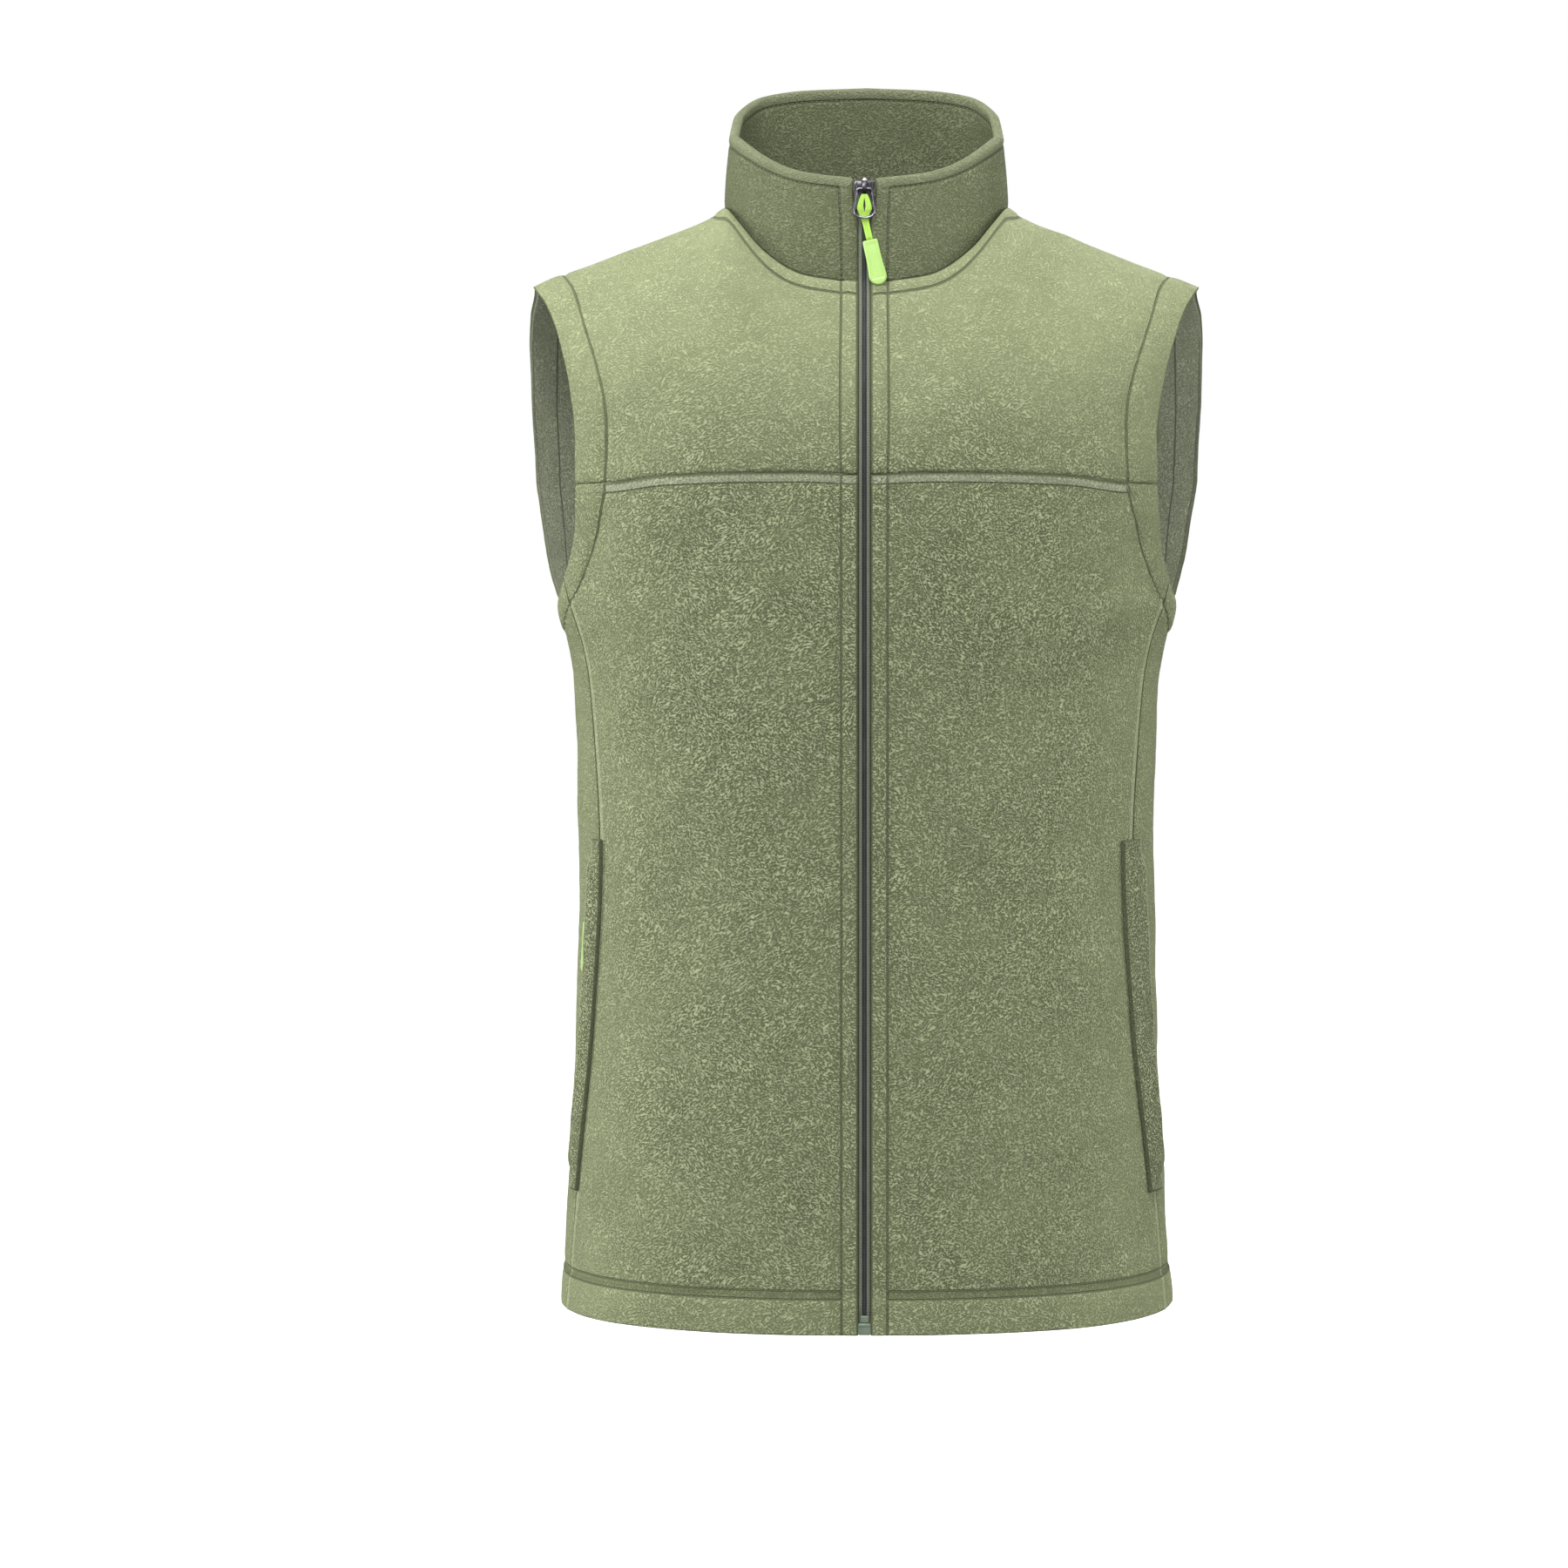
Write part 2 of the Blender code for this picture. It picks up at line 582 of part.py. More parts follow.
def run_lengths(points):
    return np.linalg.norm(np.diff(points, axis=1), axis=2).sum(axis=1)


for side, sign in SIDES.items():
    opening = ZIP_HALF + sign * ZIP_X
    points, normals = front_rows(SHARED_ROWS + FRONT_TOP_ROWS, FRONT_SHARES, opening)
    points[-1, :, 2] -= SEAM_GAP / 2
    cloth("front_" + side, points, normals, distance_from_zip(FRONT_SHARES, run_lengths(points)),
          FLEECE, sign)
    points, normals = upper_rows(YOKE_SHARES, RISES, False, opening)
    points[0, :, 2] += SEAM_GAP / 2
    points[-1, YOKE_SHARES >= NECK_SHARE, 1] -= SEAM_GAP / 2
    cloth("yoke_" + side, points, normals, distance_from_zip(YOKE_SHARES, run_lengths(points)),
          FLEECE, sign)

low, low_normals = back_rows(SHARED_ROWS, BACK_SHARES)
high, high_normals = upper_rows(BACK_SHARES, RISES, True, 0.0)
high[-1, BACK_SHARES >= NECK_SHARE, 1] += SEAM_GAP / 2
points = mirrored(np.concatenate([low, high]))
normals = mirrored(np.concatenate([low_normals, high_normals]))
cloth("back", points[:, ::-1], normals[:, ::-1], None, FLEECE)


# ---------------------------------------------------------------- collar

def collar_stations(opening):
    """Stations from one side of the zip to centre back that meet the columns under the collar."""
    fine = np.linspace(0, len(COLLAR) - 1, 1001)
    start = np.interp(opening, neck(fine)[:200, 0], fine[:200])
    stations = []
    for begin, end, shares in [(start, SIDE_NECK, YOKE_SHARES), (len(COLLAR) - 1, SIDE_NECK, BACK_SHARES)]:
        run = np.linspace(begin, end, 400)
        shares = shares[shares <= NECK_SHARE] / NECK_SHARE
        lengths = run_length(neck(run))
        stations.append(np.interp(shares * lengths[-1], lengths, run))
    return np.concatenate([stations[0], stations[1][-2::-1]])


def collar_sections(stations, sign):
    """Rings of the collar's cross-section at stations of one half."""
    base, top = neck(stations), ridge(stations)
    middle = (base + top) / 2
    tangent = unit(np.gradient(middle, stations, axis=0) * [1, 1, 0])
    outward = np.stack([tangent[:, 1], -tangent[:, 0], 0 * stations], -1)
    outward[0] = (0, -1, 0)
    outward[-1] = (0, 1, 0)
    half = COLLAR_CLOTH / 2
    foot = base - half * outward + [0, 0, SEAM_GAP]
    head = top - [0, 0, half]
    rise = unit(head - foot)
    outward = unit(outward - rise * np.sum(outward * rise, -1, keepdims=True))
    rings = []
    for at, to, up, out in zip(foot, head, rise, outward):
        face = [at + (to - at) * k for k in (0, 0.35, 0.7, 1)]
        swell = [0, 0.8, 0.5, 0]
        if not rings:
            face[2] = face[2] + [0.1 * SLIDER_FLARE, 0, 0]
            face[3] = face[3] + [SLIDER_FLARE, 0, 0]
            to = face[3]
        ring = [p + (half + s) * out for p, s in zip(face, swell)]
        ring += [to + half * (math.cos(a) * out + math.sin(a) * up)
                 for a in (math.radians(50), math.radians(130))]
        ring += [p - (half - s / 2) * out for p, s in zip(face[::-1], swell[::-1])]
        rings.append([q * [sign, 1, 1] for q in ring])
    return rings


left_half = collar_sections(collar_stations(ZIP_HALF + ZIP_X), 1)
right_half = collar_sections(collar_stations(ZIP_HALF - ZIP_X), -1)
loft("collar", left_half + right_half[-2::-1], FLEECE_COLLAR)


# ---------------------------------------------------------------- front zip

TAPE_TOP = -(CLOTH + SEAM_GAP)
RIDGE_TOP = -1.0
TAPE_RISES = list(RISES[1:-1]) + [0.955, 0.975]
FACE_FOOT = neck(0.1)[1:]
FACE_HEAD = ridge(0.1)[1:] - COLLAR_CLOTH / 2
FACE_UP = unit(FACE_HEAD - FACE_FOOT)
FACE_OUT = np.array([-FACE_UP[1], FACE_UP[0]])


def on_face(across, z, lift):
    """A point off the collar's front face: across from the zip, at a height, lifted off it."""
    y, z = FACE_FOOT + FACE_UP * (z - FACE_FOOT[1]) / FACE_UP[1] + FACE_OUT * lift
    return np.array([ZIP_X + across, y, z])


def zip_section(outline, level, kind):
    """One ring of a piece of the zip: its outline of (across, lift) set on the fleece's surface."""
    across, lift = np.array(outline, float).T
    x = ZIP_X + across
    if kind == "face":
        return [on_face(a, level, b) for a, b in outline]
    if kind == "chest":
        points = body_point(turn_at_front_width(np.abs(x), level), level)
        normals = body_normal(points)
    else:
        grid, bent = upper_rows(np.linspace(0, 0.2, 21), [level], False, 0.0)
        where = np.interp(np.abs(x), grid[0, :, 0], np.arange(21))
        points, normals = pick(grid[0], where), pick(bent[0], where)
    normals = unit(normals * np.stack([ease(4, 12, np.abs(across)), x * 0 + 1, x * 0 + 1], -1))
    points = points + normals * lift[:, None]
    points[:, 0] *= np.where(x < 0, -1, 1)
    return points


def zip_levels(first):
    """Levels of the zip's rings from a first height up: on the chest, the yoke and the collar's face."""
    heights = [HEM_Z + 12.3, HEM_Z + COIL_BOTTOM] + SHARED_ROWS[1:] + FRONT_TOP_ROWS
    levels = [(z, "chest") for z in sorted(set([first] + [z for z in heights if z >= first]))]
    levels += [(r, "yoke") for r in TAPE_RISES]
    return levels + [(z, "face") for z in np.linspace(FACE_FOOT[1] + 1, FACE_HEAD[1] - 1, 8)]


for side, sign in SIDES.items():
    rings = []
    for level, kind in zip_levels(HEM_Z + 0.5):
        narrow = kind == "face" or level == TAPE_RISES[-1]
        wide = ZIP_HALF - SEAM_GAP if narrow else TAPE_HALF
        crest = TAPE_TOP + 0.01 if kind == "chest" and level < HEM_Z + COIL_BOTTOM else RIDGE_TOP
        outline = [(wide, TAPE_TOP), (3.6, TAPE_TOP), (3.3, crest), (1.3, crest),
                   (1.25, TAPE_TOP - TAPE), (3.3, TAPE_TOP - TAPE), (3.6, TAPE_TOP - TAPE),
                   (wide, TAPE_TOP - TAPE)]
        rings.append(zip_section([(sign * a, b) for a, b in outline], level, kind))
    loft("zip_tape_" + side, rings, TAPE_CLOTH)

coil = [(COIL_HALF, -1.5), (-COIL_HALF, -1.5), (-COIL_HALF, -3.2), (COIL_HALF, -3.2)]
loft("zip_coil", [zip_section(coil, level, kind) for level, kind in zip_levels(HEM_Z + COIL_BOTTOM)], COIL)

# Box and pin at the foot of the zip: height above the hem, half width, lift
RETAINER_RINGS = [(0.4, 3.4, 0.2), (1.0, 3.9, 0.5), (6.6, 3.9, 0.5), (RETAINER_TOP, 3.4, 0.2),
                  (RETAINER_TOP + 0.1, 2.8, -1.0), (11.4, 2.6, -1.0), (11.9, 2.2, -1.4)]
rings = []
for rise, half, lift in RETAINER_RINGS:
    low_lift = TAPE_TOP + SEAM_GAP
    outline = [(half, lift), (-half, lift), (-half, low_lift), (half, low_lift)]
    rings.append(zip_section(outline, HEM_Z + rise, "chest"))
loft("zip_retainer", rings, RETAINER)

# Slider: height, half width, lift of its face
SLIDER_RINGS = [(-7.6, 1.6, 0.6), (-6.6, 2.4, 1.2), (-2.0, 3.0, 1.6), (2.6, 3.9, 1.7), (6.5, 5.4, 1.7),
                (9.8, 6.7, 1.7), (12.2, 6.0, 1.5), (13.4, 4.2, 0.9)]
rings = []
for z, half, lift in SLIDER_RINGS:
    rings.append([on_face(half, z, lift - 0.8), on_face(half - 0.7, z, lift), on_face(0.7 - half, z, lift),
                  on_face(-half, z, lift - 0.8), on_face(-half, z, -0.6), on_face(half, z, -0.6)])
slider = loft("zip_slider", rings, GUNMETAL)

# Its bridge over the pull's bar: height and lift of the middle of the arch, half width
BRIDGE_RINGS = [(-2.6, -2.4, 1.2), (-1.8, -0.2, 1.2), (-0.9, 1.2, 1.3), (0.4, 1.75, 1.4), (2.2, 1.5, 1.5),
                (3.6, 0.6, 1.7), (4.9, -0.6, 1.9), (5.6, -2.4, 1.9)]
middles = np.array([(HINGE_Z + z, HINGE_LIFT + lift) for z, lift, _ in BRIDGE_RINGS])
ways = unit(np.gradient(middles, axis=0))
rings = []
for (z, lift), (way_z, way_lift), (_, _, half) in zip(middles, ways, BRIDGE_RINGS):
    over = [on_face(a, z - way_lift * 0.5, lift + way_z * 0.5) for a in (half, -half)]
    under = [on_face(a, z + way_lift * 0.5, lift - way_z * 0.5) for a in (-half, half)]
    rings.append(over + under)
bridge = loft("zip_slider_bridge", rings, GUNMETAL)
bridge.hide_render = True
bridge.display_type = "WIRE"
operands = bpy.data.collections.new("joined_shapes")
bpy.context.scene.collection.children.link(operands)
operands.objects.link(bridge)
collection.objects.unlink(bridge)
joined = slider.modifiers.new("bridge", "BOOLEAN")
joined.operation, joined.solver, joined.object = "UNION", "EXACT", bridge


# ---------------------------------------------------------------- the pull

WIRE = 0.7
BAIL = [(0, 0.0), (3.0, 0.0), (4.3, -0.6), (4.9, -2.4), (5.6, -8.0), (6.1, -12.0), (5.9, -14.6),
        (4.2, -17.0), (0, -18.2)]
LOOP_RINGS = [(-3.4, 1.2, 0.0), (-6.0, 2.4, 0.0), (-11.0, 3.1, -0.1), (-14.5, 2.6, -0.9),
              (-17.0, 2.1, -1.6), (-20.0, 2.0, -1.7), (-31.9, 2.0, -0.8)]
GRIP_RINGS = [(0.0, 4.0, 0.9), (0.5, 4.6, 1.3), (11.0, 4.7, 1.3), (18.0, 5.1, 1.3), (22.5, 5.4, 1.3),
              (25.6, 4.5, 1.2), (27.2, 2.6, 1.0), (27.7, 1.2, 0.7)]
PULL_TILT = math.radians(12.5)
TILT_FROM = -17.0
PIN = on_face(0, HINGE_Z, HINGE_LIFT)


def on_pull(across, down, lift):
    """A point of the pull at rest; below the bail it hangs tilted to one side."""
    if down < TILT_FROM:
        lean = down - TILT_FROM
        across, down = (across * math.cos(PULL_TILT) - lean * math.sin(PULL_TILT),
                        TILT_FROM + lean * math.cos(PULL_TILT) + across * math.sin(PULL_TILT))
    return on_face(across, HINGE_Z + down, HINGE_LIFT + lift)


def hang(made):
    """Set the origin of a piece of the pull on its hinge."""
    made.data.transform(Matrix.Translation(-PIN * MM))
    made.location = PIN * MM


half_wire = np.array(BAIL)
run = run_length(half_wire)
curves = [smooth([(r, a, d) for r, (a, d) in zip(run, BAIL)], k) for k in (1, 2)]
wire = [(float(curves[0](r)), float(curves[1](r))) for r in np.linspace(0, run[-1], 15)]
wire += [(-a, d) for a, d in wire[-2:0:-1]]
bent = bpy.data.curves.new("zip_bail", "CURVE")
bent.dimensions, bent.bevel_depth, bent.bevel_resolution = "3D", WIRE * MM, 2
spline = bent.splines.new("POLY")
spline.points.add(len(wire) - 1)
for spot, (a, d) in zip(spline.points, wire):
    spot.co = (*((on_face(a, HINGE_Z + d, HINGE_LIFT) - PIN) * MM), 1.0)
spline.use_cyclic_u = True
bent.materials.append(GUNMETAL)
bail = bpy.data.objects.new("zip_bail", bent)
bail.location = PIN * MM
collection.objects.link(bail)

rings = []
for down, half, lift in LOOP_RINGS:
    rings.append([on_pull(half, down, lift + 0.5), on_pull(-half, down, lift + 0.5),
                  on_pull(-half, down, lift - 0.5), on_pull(half, down, lift - 0.5)])
hang(loft("zip_loop", rings, LIME_CORD))

grip_top = LOOP_RINGS[-1][0] - 0.05
rings = []
for down, half, thick in GRIP_RINGS:
    lift = -0.8 + 0.3 * ease(0, 8, down)
    side_thick = thick * 0.45
    ring = [(half, side_thick), (half - 1.2, thick), (1.2 - half, thick), (-half, side_thick),
            (-half, -side_thick), (1.2 - half, -thick), (half - 1.2, -thick), (half, -side_thick)]
    rings.append([on_pull(a, grip_top - down, lift + b) for a, b in ring])
hang(loft("zip_grip", rings, LIME_GRIP))


# ---------------------------------------------------------------- pockets

def side_section(z, outline):
    """One ring at a height on the side: (distance behind the side seam, lift off the surface)."""
    across, lift = np.array(outline, float).T
    turns = float(turn_at_depth(-seam_depth(z), z)) + np.linspace(0.35, -0.35, 281)
    row = body_point(turns, np.full(281, z))
    points = body_point(pick(turns, at_distances(row, run_length(row)[140] + across)), z)
    return points + body_normal(points) * lift[:, None]


STRIP = [(2.95, -0.9), (1.0, -0.9), (0.6, -0.4), (-0.6, -0.4), (-1.0, -0.9), (-2.95, -0.9),
         (-2.95, -1.8), (-1.0, -1.8), (-0.6, -1.8), (0.6, -1.8), (1.0, -1.8), (2.95, -1.8)]
STRIP_ROWS = [POCKET_BOTTOM + 9, -560, -525, -490, -460, -430, POCKET_TOP - 9]
# Height below the pocket's top, half width, lift
POCKET_SLIDER = [(-10.0, 1.6, 0.2), (-11.5, 2.7, 0.6), (-15.0, 2.7, 0.6), (-18.5, 1.5, 0.4)]
# Height below the pocket's top, near and far edge behind the seam, lift of its face
POCKET_PULL = [(-30.0, 1.0, 2.6, 1.2), (-38.0, 6.6, 9.4, 1.4), (-46.0, 9.4, 13.0, 1.6),
               (-47.0, 8.0, 14.4, 1.8), (-74.0, 8.2, 15.2, 1.8), (-77.0, 9.6, 14.0, 1.6)]
WELT_ROWS = [POCKET_BOTTOM - 6, POCKET_BOTTOM, POCKET_BOTTOM + 12, -560, -525, -490, -460, -430,
             POCKET_TOP - 12, POCKET_TOP, POCKET_TOP + 6]
WELT_COLUMNS = np.array([0, 0.2, 0.45, 0.7, 0.9, 1.0])

for side, sign in SIDES.items():
    flip = sign < 0
    loft("pocket_zip_" + side, [side_section(z, STRIP) for z in STRIP_ROWS], TAPE_CLOTH, flip)

    rings = []
    for drop, half, lift in POCKET_SLIDER:
        outline = [(half, lift), (-half, lift), (-half, -0.1), (half, -0.1)]
        rings.append(side_section(POCKET_TOP + drop, outline))
    loft("pocket_slider_" + side, rings, GUNMETAL, flip)

    rings = []
    for drop, near, far, lift in POCKET_PULL:
        back = PULL_HANG[side] * float(ease(32, 46, -drop))
        outline = [(far + back, lift), (near + back, lift), (near + back, 0.3), (far + back, 0.3)]
        rings.append(side_section(POCKET_TOP + drop, outline))
    loft("pocket_pull_" + side, rings, LIME_GRIP, flip)

    outer, inner = [], []
    for z in WELT_ROWS:
        open_here = float(ease(POCKET_BOTTOM, POCKET_BOTTOM + 12, z)
                          * (1 - ease(POCKET_TOP - 12, POCKET_TOP, z)))
        back = WELT_BACK - WELT_TAPER * (1 - open_here)
        width = WELT_FRONT[side] + back
        lift = SEAM_GAP + (WELT_STAND - SEAM_GAP) * open_here * ease(0, 0.6, WELT_COLUMNS)
        places = back - width * (1 - WELT_COLUMNS)
        inner.append(side_section(z, list(zip(places, lift))))
        outer.append(side_section(z, list(zip(places, lift + WELT_CLOTH))))
    wall("welt_" + side, np.array(outer), np.array(inner), FLEECE_WELT, flip)
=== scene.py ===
"""Looks of the fleece vest, set on the frame: panels, sewing, zips, pulls, light and camera."""
import json
import math

import bmesh
import bpy
import numpy as np
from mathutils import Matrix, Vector
from mathutils.bvhtree import BVHTree

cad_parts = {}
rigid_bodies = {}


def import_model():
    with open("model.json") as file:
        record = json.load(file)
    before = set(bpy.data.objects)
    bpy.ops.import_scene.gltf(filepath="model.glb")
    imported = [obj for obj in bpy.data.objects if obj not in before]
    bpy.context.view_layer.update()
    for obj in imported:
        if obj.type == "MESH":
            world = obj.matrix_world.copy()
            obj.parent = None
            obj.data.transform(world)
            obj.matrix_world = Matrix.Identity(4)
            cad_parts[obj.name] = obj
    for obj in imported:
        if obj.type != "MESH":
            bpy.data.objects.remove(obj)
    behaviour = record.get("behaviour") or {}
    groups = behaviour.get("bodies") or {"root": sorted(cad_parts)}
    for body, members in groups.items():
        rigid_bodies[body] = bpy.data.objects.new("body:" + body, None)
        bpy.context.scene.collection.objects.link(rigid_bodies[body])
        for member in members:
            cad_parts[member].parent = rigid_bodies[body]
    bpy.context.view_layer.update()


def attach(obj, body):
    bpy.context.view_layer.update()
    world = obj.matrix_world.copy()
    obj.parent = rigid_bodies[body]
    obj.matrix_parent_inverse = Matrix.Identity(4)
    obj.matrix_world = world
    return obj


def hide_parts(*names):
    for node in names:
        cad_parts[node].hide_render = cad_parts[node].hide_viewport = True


for leftover in list(bpy.data.objects):
    bpy.data.objects.remove(leftover, do_unlink=True)

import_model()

# ---------------------------------------------------------------- camera, light and floor

scene = bpy.context.scene
scene.view_settings.view_transform = "Standard"

lens = bpy.data.cameras.new("camera")
lens.lens = 87.27
lens.sensor_width = 36.0
lens.shift_x = -0.05256
camera = bpy.data.objects.new("camera", lens)
camera.location = (0.0, -2.4, -0.258)
camera.rotation_euler = (math.radians(90 - 2.362), 0.0, 0.0)
scene.collection.objects.link(camera)
scene.camera = camera

# A bright backdrop with dimmer light from all round, so that the lamps shape the cloth
world = bpy.data.worlds.new("studio")
world.use_nodes = True
backdrop = world.node_tree.nodes["Background"]
backdrop.inputs["Color"].default_value = (1.0, 1.0, 1.0, 1.0)
strength = world.node_tree.nodes.new("ShaderNodeMapRange")
strength.inputs["To Min"].default_value = 0.55
strength.inputs["To Max"].default_value = 1.0
seen = world.node_tree.nodes.new("ShaderNodeLightPath").outputs["Is Camera Ray"]
world.node_tree.links.new(seen, strength.inputs["Value"])
world.node_tree.links.new(strength.outputs["Result"], backdrop.inputs["Strength"])
scene.world = world

# Name, place, size, power; each looks at the chest
LAMPS = [
    ("key", (-0.6, -1.5, 1.9), 1.3, 62.0),
    ("top", (0.1, -0.5, 2.1), 1.2, 28.0),
    ("front", (0.5, -2.7, 0.0), 1.6, 16.0),
    ("back", (0.6, 2.4, 1.2), 1.6, 40.0),
    ("left", (-2.4, 0.0, 0.1), 1.2, 54.0),
    ("right", (2.4, -0.1, 0.1), 1.2, 31.0),
]
for name, place, size, power in LAMPS:
    lamp = bpy.data.lights.new(name, "AREA")
    lamp.shape, lamp.size, lamp.energy = "DISK", size, power
    made = bpy.data.objects.new(name, lamp)
    made.location = place
    made.rotation_euler = (Vector((0, 0, -0.3)) - Vector(place)).to_track_quat("-Z", "Y").to_euler()
    scene.collection.objects.link(made)


# ---------------------------------------------------------------- the vest's sizes, in millimetres

MM = 0.001

# Cloth
CLOTH = 2.4               # one layer of fleece
COLLAR_CLOTH = 5.0        # two layers and their turned seam
SEAM_GAP = 0.3            # between pieces that are sewn together
HEM_Z = -682.5
HEM_TURN = 24.0           # depth of the turned hem
ARMHOLE_TURN = 20.0       # depth of the turned armhole edge
ZIP_TURN = 10.0           # depth of the turned front edge
TURN_RISE = 0.7           # a turned edge stands this much prouder
TURN_STEP = 3.0           # over this distance

# Body of the vest
ROUNDNESS = 2.4           # exponent of the front's cross-section
YOKE_Z = -167.0           # yoke seam, and where the shoulders start to round over

# Height, half width of the front, depth of the front, half width of the back, depth of the back,
# exponent of the back's cross-section
BODY = [
    (-682.5, 192.6, 137.0, 192.6, 119.0, 2.4),
    (-600.0, 187.9, 133.0, 187.9, 113.0, 2.4),
    (-510.0, 183.5, 130.0, 183.5, 107.0, 2.4),
    (-400.0, 181.0, 128.5, 181.0, 106.0, 2.5),
    (-324.0, 182.4, 129.5, 182.4, 112.0, 2.8),
    (-291.0, 183.9, 130.5, 183.9, 115.5, 3.0),
    (-269.0, 187.2, 131.2, 187.2, 118.0, 3.1),
    (-243.5, 193.9, 132.0, 193.9, 120.5, 3.2),
    (-236.0, 192.9, 132.2, 198.0, 121.3, 3.2),
    (-214.0, 192.4, 132.6, 209.4, 123.0, 3.2),
    (-190.0, 194.6, 132.9, 218.8, 125.0, 3.1),
    (-167.0, 197.3, 133.0, 226.8, 126.0, 3.0),
]

# Side seam: height, how far it lies in front of the side line
SIDE_SEAM = [
    (-682.5, 46.0),
    (-600.0, 52.0),
    (-500.0, 62.0),
    (-390.0, 67.0),
    (-300.0, 62.0),
    (-255.0, 58.0),
    (-240.0, 53.0),
    (-228.5, 42.0),
]

# Armhole seen from the side is an oval
ARM_TOP = -45.2
ARM_BOTTOM = -243.5
ARM_FRONT = 72.0          # how far it reaches in front of the shoulder line
ARM_BACK = 70.0           # and behind it
ARM_ROUNDNESS = 2.2

# Rows of the back end at these heights up the side seam, then at these depths round the armhole,
# and start at these heights at centre back
BACK_SEAM_ENDS = [(-365.0, -376.0), (-340.0, -363.0), (-318.0, -354.0), (-298.0, -348.0),
                  (-280.0, -343.0), (-264.0, -339.0), (-250.0, -335.0), (-240.0, -331.0),
                  (-228.5, -326.0)]
BACK_ARM_ENDS = [(-28.0, -315.0), (-13.0, -302.0), (2.0, -286.0), (18.0, -268.0), (33.0, -248.0),
                 (46.0, -228.0), (56.0, -208.0), (63.0, -192.0), (67.5, -179.0)]
BACK_ROW_REACH = 50.0

# Armhole above the yoke seam, seen from the front: height, half width of the front edge, of the back edge
ARMHOLE = [
    (-140.0, 177.7, 215.1),
    (-110.0, 181.5, 216.6),
    (-80.0, 189.5, 216.6),
    (-60.0, 198.0, 214.7),
    (-45.2, 208.9, 208.9),
]

# Neck seam and collar ridge from centre front round to centre back:
# station, seam x, y, z, ridge x, y, z
COLLAR = [
    (0, 0.0, -92.0, -49.5, 0.0, -77.6, 15.0),
    (1, 37.8, -84.5, -43.7, 38.0, -70.0, 20.5),
    (2, 62.6, -67.5, -27.5, 57.0, -58.0, 28.6),
    (3, 76.5, -49.0, -11.0, 68.5, -46.5, 36.8),
    (4, 86.5, -24.0, 2.0, 78.0, -29.0, 45.5),
    (5, 89.0, -4.0, 4.5, 82.4, -6.0, 52.0),
    (6, 85.5, 25.0, 6.0, 80.8, 23.0, 67.3),
    (7, 78.0, 43.0, 7.5, 76.0, 38.5, 75.4),
    (8, 65.0, 57.0, 9.5, 68.0, 51.0, 82.0),
    (9, 38.0, 66.0, 11.5, 42.0, 61.5, 87.8),
    (10, 0.0, 69.0, 12.0, 0.0, 64.5, 90.0),
]
SIDE_NECK = 5             # the station where the shoulder line starts
NECK_SHARE = 0.5          # share of a yoke's columns that end on the neck seam
SHOULDER_SLOPE = 0.378
NECK_RISE = 4.7           # the shoulder curves up by this much into the neck seam
NECK_RISE_REACH = 6.0
CORNER_SOFTNESS = 0.3     # how far down the corner at the side neck is smoothed away

# Soft folds: front -1 or back 1, x and z of one end, x and z of the other, half width, depth
FOLDS = [
    (-1, -164.0, -200.0, -172.0, -246.0, 11.0, 2.4),
    (-1, 166.0, -208.0, 172.0, -250.0, 10.0, 1.4),
    (1, 122.0, -196.0, 164.0, -262.0, 17.0, 2.2),
    (1, -130.0, -202.0, -166.0, -270.0, 15.0, 1.8),
    (1, 34.0, -392.0, 112.0, -376.0, 16.0, 1.8),
    (1, -26.0, -408.0, -100.0, -388.0, 18.0, 2.0),
    (1, -20.0, -452.0, 74.0, -444.0, 20.0, 1.4),
]

# Zip
ZIP_X = -1.2              # the closed zip lies just off the centre line
ZIP_HALF = 4.7            # half the gap between the fleece edges
TAPE_HALF = 14.0
TAPE = 0.7
SLIDER_FLARE = 2.9        # the collar's edges spread by this much round the slider
COIL_BOTTOM = 13.0        # above the hem
HINGE_Z = 7.0             # where the pull's bar runs under the slider's bridge
HINGE_LIFT = 3.2          # and how far it is off the collar's face

# Pockets
POCKET_TOP = -394.0
POCKET_BOTTOM = -601.0
POCKET_SLOT = 3.3         # half width of the zipped opening
WELT_FRONT = {"left": 14.0, "right": 5.0}    # in front of the side seam
WELT_BACK = 9.5           # behind it, at the free edge
WELT_TAPER = 3.2          # the free edge draws in by this much at both ends
WELT_CLOTH = 2.2
WELT_STAND = 2.3          # the free edge stands this far off the panel
PULL_HANG = {"left": 0.0, "right": 3.9}     # how far back each pocket's pull has swung

SIDES = {"left": 1.0, "right": -1.0}


# ---------------------------------------------------------------- curves and tables

def smooth(rows, column):
    """A smooth curve through one column of a table, read by the table's first column."""
    at = np.array([row[0] for row in rows], float)
    value = np.array([row[column] for row in rows], float)
    rise = np.diff(value) / np.diff(at)
    product = rise[1:] * rise[:-1]
    total = np.where(product > 0, rise[1:] + rise[:-1], 1.0)
    slope = np.concatenate([rise[:1], np.where(product > 0, 2 * product / total, 0.0), rise[-1:]])

    def read(where):
        where = np.clip(where, at[0], at[-1])
        i = np.clip(np.searchsorted(at, where) - 1, 0, len(at) - 2)
        span = at[i + 1] - at[i]
        t = (where - at[i]) / span
        return ((1 + 2 * t) * (1 - t) ** 2 * value[i] + t * (1 - t) ** 2 * span * slope[i]
                + t * t * (3 - 2 * t) * value[i + 1] + t * t * (t - 1) * span * slope[i + 1])
    return read


def ease(low, high, x):
    """0 below low, 1 above high, and a soft step between."""
    t = np.clip((np.asarray(x, float) - low) / (high - low), 0, 1)
    return t * t * (3 - 2 * t)


